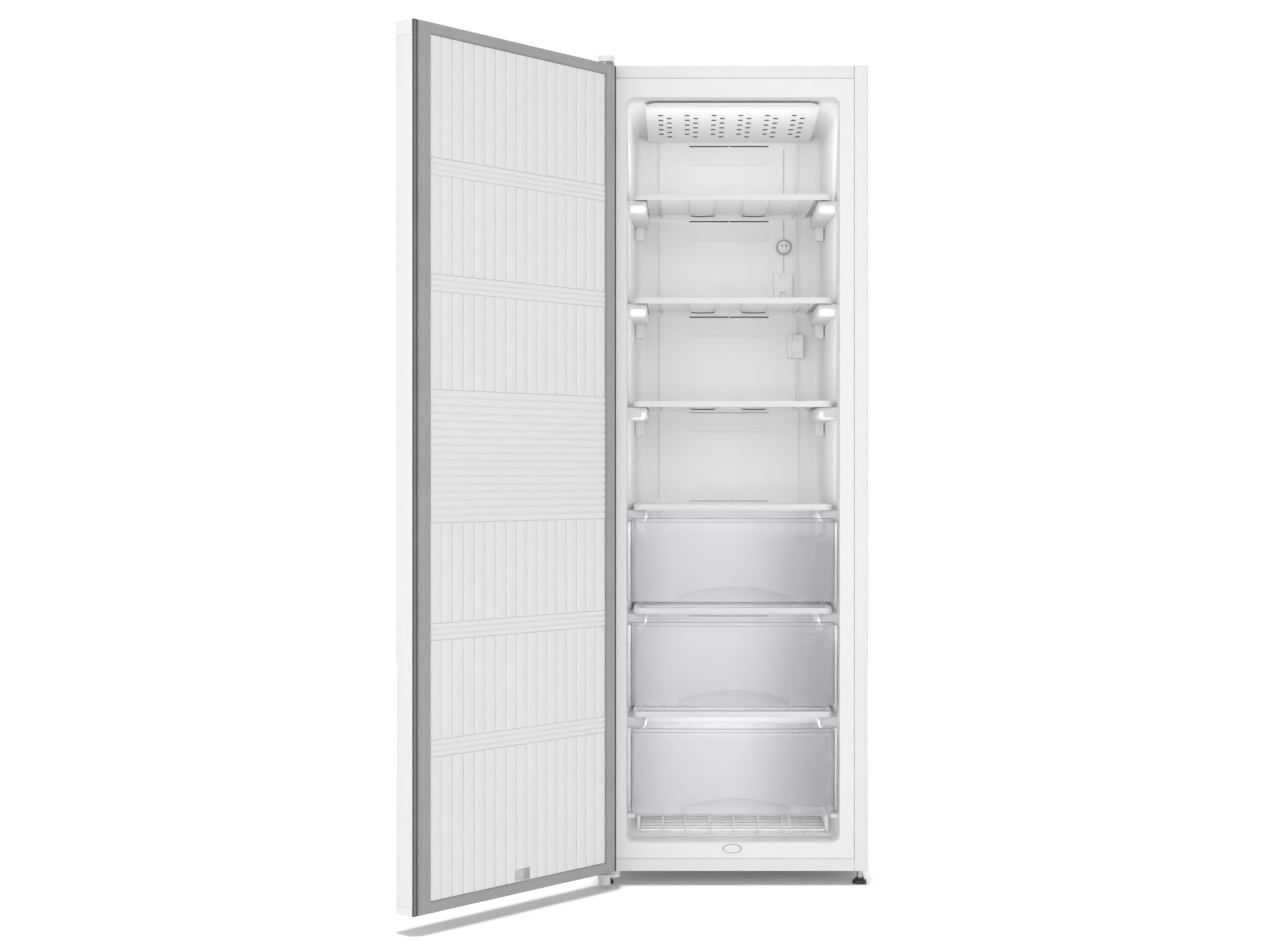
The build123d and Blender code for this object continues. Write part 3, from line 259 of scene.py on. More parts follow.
# %% A whole finish
def finish(name, colour, other, scale, gloss, grain, metallic=0.0, coat=0.0, clear=1.0, spangle=0.0):
    material = bpy.data.materials.new(name)
    material.use_nodes = True
    shader = material.node_tree.nodes["Principled BSDF"]
    shader.inputs["Metallic"].default_value = metallic
    shader.inputs["Coat Weight"].default_value = coat
    shader.inputs["Coat Roughness"].default_value = 0.12
    shader.inputs["Alpha"].default_value = clear
    tint = place_group(material, TINT_DRIFT, {
        "Colour": (*colour, 1), "Other Colour": (*other, 1), "Scale": scale, "Amount": 1.0})
    material.node_tree.links.new(tint.outputs["Colour"], shader.inputs["Base Color"])
    rough = add_grain(material, gloss, grain)
    if spangle:
        add_spangle(material, rough, colour, other, spangle)
    print("finish", name)
    return material

# %% [markdown]
# ### White finishes
# The outside is enamelled steel, glossy with a soft orange peel. The liner is vacuum-formed plastic, a
# little matter. The loose fittings inside are moulded in a whiter plastic, and the basket wires are dipped.

# %% White finishes
FORMED_GRAIN = (700, 7, 0.25, 0.04)
MOULD_GRAIN = (900, 14, 0.2, 0.03)
white_enamel = finish("white_enamel", (0.86, 0.863, 0.866), (0.84, 0.845, 0.85), 3.0, (0.28, 0.36),
                      (260, 9, 0.35, 0.05), coat=0.25)
liner_white = finish("liner_white", (0.90, 0.902, 0.904), (0.88, 0.884, 0.888), 2.4, (0.36, 0.46),
                     FORMED_GRAIN)
# The rails are of the liner's own plastic; their finish is the liner white made darker, painted shade that
# tones down their lit faces.
rail_white_painted_shade = finish("rail_white_painted_shade", (0.81, 0.813, 0.816), (0.79, 0.794, 0.798), 2.4, (0.4, 0.5), FORMED_GRAIN)
moulded_white = finish("moulded_white", (0.905, 0.907, 0.909), (0.88, 0.884, 0.889), 5.0, (0.34, 0.44),
                       MOULD_GRAIN)
# The shelves' finish is the moulded white made a little darker: painted shade that tones down their lit
# front edges.
shelf_white_painted_shade = finish("shelf_white_painted_shade", (0.845, 0.847, 0.849), (0.82, 0.824, 0.829), 5.0, (0.36, 0.46),
                     MOULD_GRAIN)
wire_white = finish("wire_white", (0.73, 0.73, 0.725), (0.67, 0.675, 0.675), 30.0, (0.25, 0.4),
                    (500, 60, 0.5, 0.06), coat=0.3)

# %% [markdown]
# ### Soft and tinted finishes
# The gasket is a soft grey vinyl with a dull sheen. The drawers are clear plastic with a smoke tint: part
# of the light goes straight through, so the finish is partly see-through and its surface stays glossy.
# Where the eye looks along an edge of such plastic it looks darker, and that darkening is painted with a
# dark finish of its own.

# %% Soft and tinted finishes
VINYL_GRAIN = (1100, 20, 0.3, 0.06)
SMOKE_GRAIN = (500, 8, 0.5, 0.03)
gasket_vinyl = finish("gasket_vinyl", (0.42, 0.422, 0.426), (0.39, 0.393, 0.397), 9.0, (0.5, 0.62),
                      VINYL_GRAIN)
# The gasket vinyl made darker: painted shade, for the flap lies in the bulb's shade.
gasket_flap_painted_shade = finish("gasket_flap_painted_shade", (0.29, 0.293, 0.297), (0.26, 0.263, 0.268), 9.0, (0.55, 0.7),
                     VINYL_GRAIN)
# A darker smoke, painted on thin lines where the eye looks along the plastic.
smoke_edge_painted_dark = finish("smoke_edge_painted_dark", (0.20, 0.197, 0.215), (0.16, 0.157, 0.172), 3.5, (0.2, 0.3), SMOKE_GRAIN,
                    clear=0.75)
smoke_plastic = finish("smoke_plastic", (0.95, 0.942, 0.972), (0.91, 0.902, 0.932), 3.5, (0.16, 0.26),
                       SMOKE_GRAIN, clear=0.34)
black_rubber = finish("black_rubber", (0.022, 0.022, 0.023), (0.035, 0.034, 0.033), 25.0, (0.6, 0.8),
                      (900, 40, 0.3, 0.12))
foam_skin = finish("foam_skin", (0.78, 0.70, 0.45), (0.70, 0.60, 0.35), 20.0, (0.75, 0.9),
                   (350, 60, 0.4, 0.5))

# %% [markdown]
# Smoke plastic looks deeper towards the sides of a drawer, where the eye passes through the curved edge.
# That darkening is painted shade here: one more group gives it as a mask, from the distance to a middle line
# between a near and a far width.

# %% Group: painted shade towards the sides of the smoke plastic
def painted_side_shade():
    group, given, result = new_group(
        "painted_side_shade",
        [("Middle", "NodeSocketFloat", 0.0), ("Near", "NodeSocketFloat", 0.05),
         ("Far", "NodeSocketFloat", 0.25)],
        [("Mask", "NodeSocketFloat")])
    make, link = group.nodes.new, group.links.new
    place = make("ShaderNodeTexCoord")
    parts = make("ShaderNodeSeparateXYZ")
    offset = make("ShaderNodeMath")
    offset.operation = "SUBTRACT"
    away = make("ShaderNodeMath")
    away.operation = "ABSOLUTE"
    spread = make("ShaderNodeMapRange")
    spread.interpolation_type = "SMOOTHSTEP"
    link(place.outputs["Object"], parts.inputs["Vector"])
    link(parts.outputs["X"], offset.inputs[0])
    link(given.outputs["Middle"], offset.inputs[1])
    link(offset.outputs["Value"], away.inputs[0])
    link(away.outputs["Value"], spread.inputs["Value"])
    link(given.outputs["Near"], spread.inputs["From Min"])
    link(given.outputs["Far"], spread.inputs["From Max"])
    link(spread.outputs["Result"], result.inputs["Mask"])
    return group


PAINTED_SIDE_SHADE = painted_side_shade()
print("group", PAINTED_SIDE_SHADE.name)

# %% [markdown]
# The mask is put between the drift of the smoke plastic and its shader, where it mixes in a deeper tone as
# painted shade.
# The middle line lies a little left of the cabinet's middle, since the eye stands on that side.

# %% Painted shade on the sides of the drawers
tree = smoke_plastic.node_tree
base_colour = tree.nodes["Principled BSDF"].inputs["Base Color"]
# The depth mask says where painted shade darkens the smoke tint.
depth = place_group(smoke_plastic, PAINTED_SIDE_SHADE, {"Middle": at(-60, 0, 0).x})
deeper = tree.nodes.new("ShaderNodeMix")
deeper.data_type = "RGBA"
deeper.inputs[MIX_B].default_value = (0.60, 0.594, 0.625, 1)
tree.links.new(depth.outputs["Mask"], deeper.inputs["Factor"])
tree.links.new(base_colour.links[0].from_socket, deeper.inputs[MIX_A])
tree.links.new(deeper.outputs[MIX_RESULT], base_colour)
print("deeper tone at the sides of", smoke_plastic.name)

# %% [markdown]
# ### Metals and dark plastics
# Hidden sheets are galvanised, with the crystals of the zinc showing as a spangle. Pipes are copper, fins
# are aluminium, the pump and its plate are black-painted steel, and the feet and clips are black plastic.

# %% Metals and dark plastics
SMALL_PART_GRAIN = (900, 20, 0.3, 0.05)
galvanised = finish("galvanised", (0.52, 0.54, 0.56), (0.66, 0.68, 0.70), 8.0, (0.28, 0.5),
                    (300, 12, 0.3, 0.04), metallic=0.9, spangle=55.0)
copper_pipe = finish("copper_pipe", (0.72, 0.36, 0.22), (0.50, 0.22, 0.13), 28.0, (0.22, 0.42),
                     (500, 40, 0.4, 0.05), metallic=1.0)
aluminium = finish("aluminium", (0.78, 0.79, 0.80), (0.68, 0.69, 0.71), 12.0, (0.3, 0.45),
                   (900, 30, 0.3, 0.04), metallic=1.0)
black_paint = finish("black_paint", (0.02, 0.021, 0.023), (0.034, 0.034, 0.036), 14.0, (0.28, 0.42),
                     (320, 16, 0.4, 0.08), coat=0.2)
bright_steel = finish("bright_steel", (0.60, 0.60, 0.61), (0.50, 0.50, 0.52), 18.0, (0.2, 0.36),
                      (800, 30, 0.4, 0.03), metallic=1.0)
black_moulding = finish("black_moulding", (0.022, 0.022, 0.024), (0.032, 0.032, 0.034), 16.0, (0.38, 0.52),
                        (900, 20, 0.3, 0.06))
# shade_grey is no material of the freezer: it paints shade in slots, grooves, rings and round the spout.
shade_grey = finish("shade_grey", (0.06, 0.061, 0.063), (0.045, 0.046, 0.048), 20.0, (0.6, 0.8),
                    SMALL_PART_GRAIN)
# light_grey paints a paler shade in the lower air slots and the seam; it is also the light plate of the door
# tab.
light_grey = finish("light_grey", (0.66, 0.665, 0.67), (0.60, 0.605, 0.61), 14.0, (0.38, 0.5),
                    SMALL_PART_GRAIN)
grey_moulding = finish("grey_moulding", (0.46, 0.47, 0.48), (0.41, 0.42, 0.43), 14.0, (0.38, 0.5),
                       SMALL_PART_GRAIN)

# %% [markdown]
# Every solid of the frame gets the finish of its own material slot, also the hidden ones: the back and the
# machine bay are seen when the freezer is turned round. A piece made below replaces its solid.

# %% Finish the solids
FINISH_OF = {
    "white_steel": white_enamel, "galvanised": galvanised, "white_liner": liner_white, "foam": foam_skin,
    "white_plastic": moulded_white, "smoke_plastic": smoke_plastic, "gasket_grey": gasket_vinyl,
    "white_wire": wire_white, "black_plastic": black_moulding, "grey_plastic": grey_moulding,
    "copper": copper_pipe, "aluminium": aluminium, "black_steel": black_paint,
    "bright_steel": bright_steel, "black_rubber": black_rubber,
}
for row in frame["record"]["subparts"]:
    solid = frame["nodes"][row["node"]]
    solid.data.materials.clear()
    solid.data.materials.append(FINISH_OF[row["material_slot"]])
print("solids finished:", len(frame["nodes"]))

# %% [markdown]
# ## Tools for the bench
# Every piece starts as a primitive at its own size and place. Operators act on whatever is selected, so
# everything is deselected first. Once a piece is placed, its place, turn and scale go into its mesh,
# because the finished pieces all sit at the origin.

# %% Selecting, settling and editing
def clear_selection():
    if bpy.context.object and bpy.context.object.mode != "OBJECT":
        bpy.ops.object.mode_set(mode="OBJECT")
    bpy.ops.object.select_all(action="DESELECT")


def settle(name):
    piece = bpy.context.object
    piece.name = name
    piece.data.name = name
    bpy.ops.object.transform_apply(location=True, rotation=True, scale=True)
    return piece


def choose(piece):
    clear_selection()
    piece.select_set(True)
    bpy.context.view_layer.objects.active = piece


def edit(piece):
    choose(piece)
    bpy.ops.object.mode_set(mode="EDIT")


def done():
    bpy.ops.object.mode_set(mode="OBJECT")

# %% [markdown]
# Shaping happens in edit mode, and there the right corners, edges or faces have to be picked first. By hand
# one clicks on them; in code they are picked by where they lie. A window on an axis is a pair of
# millimetres, and a single number means just there.

# %% Picking by place
NEAR = 0.06


def within(value, window):
    if window is None:
        return True
    low, high = window if isinstance(window, tuple) else (window, window)
    return low - NEAR <= value <= high + NEAR


def pick(kind, x=None, y=None, z=None, facing=None):
    """Selects corners, edges or faces whose corners all lie in the windows."""
    bpy.ops.mesh.select_mode(type=kind)
    bpy.ops.mesh.select_all(action="DESELECT")
    data = bpy.context.edit_object.data
    mesh = bmesh.from_edit_mesh(data)
    rows = {"VERT": mesh.verts, "EDGE": mesh.edges, "FACE": mesh.faces}[kind]
    count = 0
    for row in rows:
        corners = [row] if kind == "VERT" else row.verts
        places = [cabinet_mm(corner.co) for corner in corners]
        inside = all(within(p.x, x) and within(p.y, y) and within(p.z, z) for p in places)
        if inside and facing:
            inside = row.normal.dot(Vector(facing)) > 0.9
        if inside:
            row.select_set(True)
            count += 1
    mesh.select_flush_mode()
    bmesh.update_edit_mesh(data)
    return count


print("a corner counts as in its place within", NEAR, "mm")

# %% [markdown]
# When a piece is done it is fitted in: it gets its finish, it rides on its body, and it names the solids it
# stands for. Its size is printed, which is the quickest way to find a slip of the hand.

# %% Fitting a piece in
def fit_in(piece, body, surface, slot, *solids):
    """Gives a piece its finish and its body, and lets it stand for the solids that it replaces."""
    piece.data.materials.clear()
    piece.data.materials.append(surface)
    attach(piece, body)
    if solids:
        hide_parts(*solids)
    low = cabinet_mm(Vector([min(v.co[i] for v in piece.data.vertices) for i in range(3)]))
    high = cabinet_mm(Vector([max(v.co[i] for v in piece.data.vertices) for i in range(3)]))
    size = [round(c, 1) for c in high - low]
    print(piece.name, "size mm", size, "faces", len(piece.data.polygons))

# %% [markdown]
# ## The cabinet's sheet metal
# A side of the cabinet is one sheet of enamelled steel, folded round the front and the back. It could be
# cut from a block, but folding is how it is made and how its soft corner comes about: a flat plane gets
# flanges pulled from its edges, the fold lines are rounded, and the sheet is thickened inwards.

# %% Sheets and folds
def start_sheet(name, x, y, z):
    """Flat sheet: one of the three spans is a single number. Its face looks to the front or the right."""
    clear_selection()
    if isinstance(y, tuple):
        place = at(x, (y[0] + y[1]) / 2, (z[0] + z[1]) / 2)
        turn = (0, pi / 2, 0)
        size = ((z[1] - z[0]) / 1000, (y[1] - y[0]) / 1000, 1)
    else:
        place = at((x[0] + x[1]) / 2, y, (z[0] + z[1]) / 2)
        turn = (pi / 2, 0, 0)
        size = ((x[1] - x[0]) / 1000, (z[1] - z[0]) / 1000, 1)
    bpy.ops.mesh.primitive_plane_add(size=1, location=place, rotation=turn)
    bpy.context.object.scale = size
    return settle(name)


def fold(x=0, y=0, z=0):
    """Extrudes the picked edges of a sheet into a new flange."""
    bpy.ops.mesh.extrude_edges_move(TRANSFORM_OT_translate={"value": (x / 1000, y / 1000, z / 1000)})


def round_picked(radius, steps):
    bpy.ops.mesh.bevel(offset=radius / 1000, segments=steps, affect="EDGES", clamp_overlap=True)

# %% [markdown]
# Modifiers do what would be slow by hand, and each is applied at once, so the finished mesh holds its own
# shape. Here one gives a flat sheet its thickness. Smooth shading then rounds what is rounded and leaves
# every edge sharper than an angle as it is.

# %% Thickness and smooth shading
def apply_modifier(piece, kind, **values):
    choose(piece)
    modifier = piece.modifiers.new(kind.lower(), kind)
    for key, value in values.items():
        setattr(modifier, key, value)
    bpy.ops.object.modifier_apply(modifier=modifier.name)


def thicken(piece, thickness, side=-1.0):
    apply_modifier(piece, "SOLIDIFY", thickness=thickness / 1000, offset=side, use_even_offset=True)


def smooth(piece, angle=34):
    choose(piece)
    bpy.ops.object.shade_smooth_by_angle(angle=radians(angle))

# %% [markdown]
# The right side gets a wide fold at the front with a short return, and a narrow fold at the back. Enamelled
# sheet can't be folded sharp, so the front corner has the widest radius and the hidden ones less.

# %% Right side panel
SHEET = 0.9
FRONT_FOLD, RETURN, BACK_FOLD = 28, 7, 20
side = start_sheet("side_panel_right", HALF, (0, DEPTH), (BASE, TOP))
edit(side)
pick("EDGE", y=0)
fold(x=-FRONT_FOLD)
pick("EDGE", x=HALF - FRONT_FOLD, y=0)
fold(y=RETURN)
pick("EDGE", x=HALF, y=DEPTH)
fold(x=-BACK_FOLD)
for x, y, radius, steps in ((HALF, 0, 2.6, 5), (HALF, DEPTH, 1.6, 3), (HALF - FRONT_FOLD, 0, 1.2, 3)):
    pick("EDGE", x=x, y=y)
    round_picked(radius, steps)
done()
thicken(side, SHEET)
smooth(side)
print("faces of the folded side", len(side.data.polygons))

# %% [markdown]
# A cabinet has many pairs, so a piece is made once and copied. A copy gets its own mesh, and a mirrored one
# has its faces turned outwards again, because a mirror turns them inside out.

# %% Copies and mirror images
def copy_of(piece, name, x=0, y=0, z=0):
    choose(piece)
    bpy.ops.object.duplicate(linked=False)
    bpy.ops.transform.translate(value=(x / 1000, y / 1000, z / 1000))
    return settle(name)


def face_outwards(piece):
    edit(piece)
    bpy.ops.mesh.select_all(action="SELECT")
    bpy.ops.mesh.normals_make_consistent(inside=False)
    done()


def other_hand(piece, name):
    twin = copy_of(piece, name)
    bpy.ops.transform.resize(value=(-1, 1, 1), center_override=at(0, 0, 0))
    settle(name)
    face_outwards(twin)
    return twin


left_side = other_hand(side, "side_panel_left")
fit_in(side, "cabinet", white_enamel, "white_steel", "right_side_panel")
fit_in(left_side, "cabinet", white_enamel, "white_steel", "left_side_panel")

# %% [markdown]
# A narrow rail closes the front above the opening. It is folded the same way: a face, a lip over the top,
# and its two ends turned back a little, so a fine dark seam shows beside the side panels.

# %% Top front rail
RAIL_HALF, RAIL_LOW = 246.3, 1643.7
rail = start_sheet("top_rail", (-RAIL_HALF, RAIL_HALF), 0, (RAIL_LOW, TOP))
edit(rail)
pick("EDGE", z=TOP)
fold(y=18)
pick("EDGE", z=TOP, y=0)
round_picked(1.8, 4)
for end in (-RAIL_HALF, RAIL_HALF):
    pick("EDGE", x=end, y=0)
    fold(y=6)
    pick("EDGE", x=end, y=0, z=(RAIL_LOW, TOP - 1))
    round_picked(0.9, 3)
pick("EDGE", z=RAIL_LOW, y=0)
fold(y=3)
pick("EDGE", z=RAIL_LOW, y=0)
round_picked(0.8, 3)
done()
thicken(rail, SHEET)
smooth(rail)
fit_in(rail, "cabinet", white_enamel, "white_steel", "top_front_rail")

# %% [markdown]
# ## The liner
# The inside of the cabinet is one vacuum-formed plastic box with a face round its opening. The easiest way
# to get its even walls is to model the room inside it, grow a skin round that room, and then cut the front
# open: the room tapers towards the back, has a step over the machine bay and a shallow recess for the cold
# coil.

# %% Blocks
def start_block(name, x, y, z):
    clear_selection()
    low = at(x[0], y[0], z[0])
    high = at(x[1], y[1], z[1])
    bpy.ops.mesh.primitive_cube_add(size=1, location=(low + high) / 2, scale=high - low)
    return settle(name)

# %% [markdown]
# The room starts as a block with the size of the opening. Its rear face is made smaller, which gives the
# walls the taper that lets the real liner leave its mould, and then the four long corners are rounded. They
# slant, so each is picked with a window.

# %% The room inside the liner
OPENING_HALF = 218.5
OPENING_LOW, OPENING_HIGH = 85, 1606
LINER_DEPTH = 375
SIDE_TAPER, END_TAPER = 14, 18
CORNER = 15
OPENING_X, OPENING_Z = (-OPENING_HALF, OPENING_HALF), (OPENING_LOW, OPENING_HIGH)
room = start_block("liner_room", OPENING_X, (-30, LINER_DEPTH), OPENING_Z)
height = OPENING_HIGH - OPENING_LOW
shrink = ((OPENING_HALF - SIDE_TAPER) / OPENING_HALF, 1, (height - 2 * END_TAPER) / height)
edit(room)
pick("FACE", y=LINER_DEPTH)
bpy.ops.transform.resize(value=shrink, center_override=at(0, LINER_DEPTH, OPENING_LOW + height / 2))
for corner_x in ((-220, -203), (203, 220)):
    for corner_z in ((80, 106), (1585, 1607)):
        pick("EDGE", x=corner_x, y=(-31, LINER_DEPTH + 1), z=corner_z)
        round_picked(CORNER, 6)
done()
print("room inside the liner, faces:", len(room.data.polygons))

# %% [markdown]
# What is cut away by another shape is cut with a Boolean modifier, and what is added is joined with one.
# The cutter goes when its work is done. A round bar is the other shape that cutting needs all the time.

# %% Round bars, cutting and joining
def start_rod(name, axis, centre, span, radius, sides=32):
    """Round bar along Y or Z; centre holds the two other coordinates in order."""
    clear_selection()
    middle = (span[0] + span[1]) / 2
    length = abs(span[1] - span[0]) / 1000
    if axis == "Y":
        place, turn = at(centre[0], middle, centre[1]), (pi / 2, 0, 0)
    else:
        place, turn = at(centre[0], centre[1], middle), (0, 0, 0)
    bpy.ops.mesh.primitive_cylinder_add(
        vertices=sides, radius=radius / 1000, depth=length, location=place, rotation=turn)
    return settle(name)


def remove(piece):
    mesh = piece.data
    bpy.data.objects.remove(piece)
    bpy.data.meshes.remove(mesh)


def carve(piece, *cutters):
    for cutter in cutters:
        apply_modifier(piece, "BOOLEAN", operation="DIFFERENCE", solver="EXACT", object=cutter)
        remove(cutter)


def weld(piece, *others):
    for other in others:
        apply_modifier(piece, "BOOLEAN", operation="UNION", solver="EXACT", object=other)
        remove(other)

# %% [markdown]
# The two upright corners at the back are rounder than the long ones. The block that cuts each of them first
# loses a round bar, so what it leaves is the rounding. Then comes the step over the machine bay, and a
# shallow recess in the back wall for the cold coil.

# %% Rear corners, step and recess
REAR_RADIUS = 20
ROUND_X, ROUND_Y = 185.25, 355
STEP_Y, STEP_Z = 245, 325
for side_of in (-1, 1):
    span = sorted((side_of * ROUND_X, side_of * 240))
    corner = start_block("rear_corner", tuple(span), (ROUND_Y, 420), (0, 1700))
    carve(corner, start_rod("rear_round", "Z", (side_of * ROUND_X, ROUND_Y), (-20, 1720), REAR_RADIUS, 64))
    carve(room, corner)
carve(room, start_block("machine_step", (-300, 300), (STEP_Y, 420), (0, STEP_Z)))
edit(room)
pick("EDGE", y=STEP_Y, z=STEP_Z)
round_picked(5, 4)
done()
weld(room, start_block("coil_recess", (-145, 145), (360, 445), (345, 1520)))
print("room with its step and recess, faces:", len(room.data.polygons))

# %% [markdown]
# Now the room grows a skin outwards and is cut open at the front. The faces aren't turned after that:
# turning would take the inner wall for the outer one.

# %% Skin round the room
WALL = 2.4
thicken(room, WALL, side=1.0)
FACE_Y = 0.2
carve(room, start_block("front_air", (-400, 400), (-80, FACE_Y), (0, 1800)))
print("skin, faces:", len(room.data.polygons))

# %% [markdown]
# The face is a thin plate behind the folds of the side panels, with an opening of the same size and
# corners. Plate and skin are joined, and the edge that runs round the opening gets the soft bend of formed
# plastic.

# %% Face round the opening
opening = start_block("liner_opening", OPENING_X, (-5, 8), OPENING_Z)
edit(opening)
for corner_x in OPENING_X:
    for corner_z in OPENING_Z:
        pick("EDGE", x=corner_x, z=corner_z)
        round_picked(CORNER, 6)
done()
face = start_block("liner", (-246, 246), (FACE_Y, WALL), (54.2, 1642.8))
carve(face, opening)
weld(face, room)
edit(face)
bpy.ops.mesh.select_all(action="SELECT")
bpy.ops.mesh.remove_doubles(threshold=0.00005)
rim_x = (-OPENING_HALF - 0.4, OPENING_HALF + 0.4)
picked = pick("EDGE", x=rim_x, y=FACE_Y, z=(OPENING_LOW - 0.4, OPENING_HIGH + 0.4))
round_picked(3.2, 4)
done()
print("edges round the opening:", picked)
smooth(face, 40)
fit_in(face, "cabinet", liner_white, "white_liner", "inner_liner")

# %% [markdown]
# ## Shelf rails
# Each shelf lies on a pair of bulges that stand out of the side walls. Below each bulge a small lug keeps a
# drawer or a basket from tipping. A rail starts as a block that is rounded along its inner edge, and one
# function makes it at every level.

# %% One shelf rail with its lug
def shelf_lug(low, high):
    inside = 186
    peg = start_block("lug", (inside, 204), (290, 310), (low, high))
    edit(peg)
    pick("EDGE", x=inside)
    round_picked(4, 4)
    pick("EDGE", z=low)
    round_picked(3, 3)
    done()
    return peg


def shelf_rail(name, top, lug):
    inside, front, low, high = 177, 48, top - 37.5, top - 12.6
    bar = start_block(name, (inside, 224), (front, 345), (low, high))
    edit(bar)
    pick("EDGE", x=inside, y=front)
    round_picked(17, 8)
    pick("EDGE", z=low)
    round_picked(10, 6)
    pick("EDGE", z=high)
    round_picked(1.5, 2)
    done()
    if lug:
        weld(bar, shelf_lug(top - 66, top - 30))
    return bar


SHELF_PITCH = 212.62
SHELF_TOPS = [1412.5 - SHELF_PITCH * number for number in range(6)]
print("shelf tops", [round(level, 1) for level in SHELF_TOPS])

# %% [markdown]
# The wall behind a rail leans with the taper of the liner. A rail is made a little too wide, and a plane
# that lies along the wall cuts off what would stand out behind it.

# %% Trimming to the wall, and joining
def trim_to_wall(bar):
    edit(bar)
    bpy.ops.mesh.select_all(action="SELECT")
    slope = Vector((LINER_DEPTH, SIDE_TAPER, 0)).normalized()
    plane_place = at(OPENING_HALF + 0.4, 0, 0)
    bpy.ops.mesh.bisect(plane_co=plane_place, plane_no=slope, clear_outer=True, use_fill=True)
    done()


def gather(piece, *others):
    """Joins loose pieces into one mesh without cutting them."""
    choose(piece)
    for other in others:
        other.select_set(True)
    bpy.ops.object.join()
    return piece


right_rails = []
for number, top in enumerate(SHELF_TOPS[:5], 1):
    right_rails.append(shelf_rail(f"shelf_rail_{number}", top, lug=True))
print("rails with a lug:", len(right_rails))

# %% [markdown]
# The sixth rail has no lug and is notched where it meets the step over the machine bay. The lowest drawer
# runs on a narrow rail of its own. All are trimmed, joined to one piece and mirrored to the other wall.

# %% Rails on both walls
low_rail = shelf_rail("shelf_rail_6", SHELF_TOPS[5], lug=False)
carve(low_rail, start_block("step_below", (100, 300), (234.9, 400), (300, 325.2)))
NARROW_INSIDE = 199.5
narrow = start_block("narrow_rail", (NARROW_INSIDE, 224), (25, 243), (133, 141))
edit(narrow)
pick("EDGE", x=NARROW_INSIDE)
round_picked(2.5, 3)
done()
right_rails += [low_rail, narrow]
for bar in right_rails:
    trim_to_wall(bar)
rails = gather(right_rails[0], *right_rails[1:])
rails.name = "shelf_rails_right"
smooth(rails)
left_rails = other_hand(rails, "shelf_rails_left")
fit_in(rails, "cabinet", rail_white_painted_shade, "white_liner", "shelf_rails")
fit_in(left_rails, "cabinet", rail_white_painted_shade, "white_liner")

# %% [markdown]
# ## Air duct cover
# Cold air comes through a tall cover on the back wall. Under each slot a shallow pocket guides it down. The
# slots and pockets are cut from a plate, and one light bevel makes their edges catch the light. A fine
# upright seam runs past the knob, and a hole is left for the knob's shaft.

# %% Bevel, and the places of the slots
SHARP = radians(32)


def soften(piece, radius, steps):
    apply_modifier(piece, "BEVEL", width=radius / 1000, segments=steps, limit_method="ANGLE",
                   angle_limit=SHARP, use_clamp_overlap=True)
    smooth(piece)


KNOB = (122, 1341)
SLOT_LEVELS = [1566] + [top - 13.5 for top in SHELF_TOPS[:3]] + [SHELF_TOPS[3] + 3, SHELF_TOPS[4] - 40]
print("air slots at", [round(level, 1) for level in SLOT_LEVELS])

# %% [markdown]
# Through a slot one sees only shade behind the plate, so each gets a thin strip of painted shade there. The
# cutters are all made first and used in one go.

# %% Air duct cover
SLOT_X, SEAM_X = (-88, 88), (120.6, 123.0)
POCKET_BACK = 372.1
cover = start_block("duct_cover", (-155, 155), (371, 374.9), (335, 1585))
cutters, strips = [], []
for level in SLOT_LEVELS:
    pocket = start_block("air_pocket", SLOT_X, (365, POCKET_BACK), (level - 46, level - 2))
    edit(pocket)
    pick("EDGE", z=level - 46, y=POCKET_BACK)
    round_picked(6, 4)
    done()
    cutters.append(pocket)
    # A dark strip behind each slot is painted shade.
    strips.append(start_block("slot_painted_shade", SLOT_X, (374.1, 374.8), (level - 1.5, level + 1.5)))
    for x in ((SLOT_X[0], -1.2), (0.8, SLOT_X[1])):
        cutters.append(start_block("air_slot", x, (365, 380), (level - 1.5, level + 1.5)))
shaft_hole = start_rod("shaft_hole", "Y", KNOB, (365, 380), 4)
carve(cover, *cutters, shaft_hole, start_block("seam", SEAM_X, (365, 373), (1230, 1562)))
soften(cover, 0.9, 2)
fit_in(cover, "cabinet", moulded_white, "white_plastic", "air_duct_cover")

# %% [markdown]
# The strips of the three upper slots are painted nearly black shade. Those of the three lower ones, at the
# height of the eye and below it, are a paler painted shade, and so is a strip on the floor of the seam,
# which goes with the lower strips.

# %% Painted shade in the slots and the seam
dark_strips = gather(*strips[:3])
dark_strips.name = "air_slot_painted_shade"
fit_in(dark_strips, "cabinet", shade_grey, "grey_plastic")
# A pale strip on the seam's floor is painted shade.
seam_painted_shade = start_block("seam_painted_shade", SEAM_X, (372.6, 373.4), (1232, 1560))
pale_strips = gather(*strips[3:], seam_painted_shade)
pale_strips.name = "air_slot_painted_shade_low"
fit_in(pale_strips, "cabinet", light_grey, "grey_plastic")

# %% [markdown]
# ## Ceiling diffuser
# A slotted plate, three millimetres thick, hangs under the ceiling and spreads the air over the top shelf.
# It is made level, and its two front corners are cut off.

# %% Plate of the diffuser
HALF_WIDTH, PLATE_FRONT = 179.5, 30
diffuser = start_block("diffuser", (-HALF_WIDTH, HALF_WIDTH), (PLATE_FRONT, 369), (1594, 1597))
edit(diffuser)
for x in (-HALF_WIDTH, HALF_WIDTH):
    pick("EDGE", x=x, y=PLATE_FRONT)
    round_picked(12, 1)
done()
print("plate, faces:", len(diffuser.data.polygons))

# %% [markdown]
# The slots stand in six groups of two staggered columns. One slot is repeated to a column with an array,
# and the columns are gathered to a grille, which is the cutter for the plate.

# %% Slots of the diffuser
def repeat(piece, count, x=0, y=0, z=0):
    apply_modifier(piece, "ARRAY", count=count, use_relative_offset=False, use_constant_offset=True,
                   constant_offset_displace=Vector((x, y, z)) / 1000)


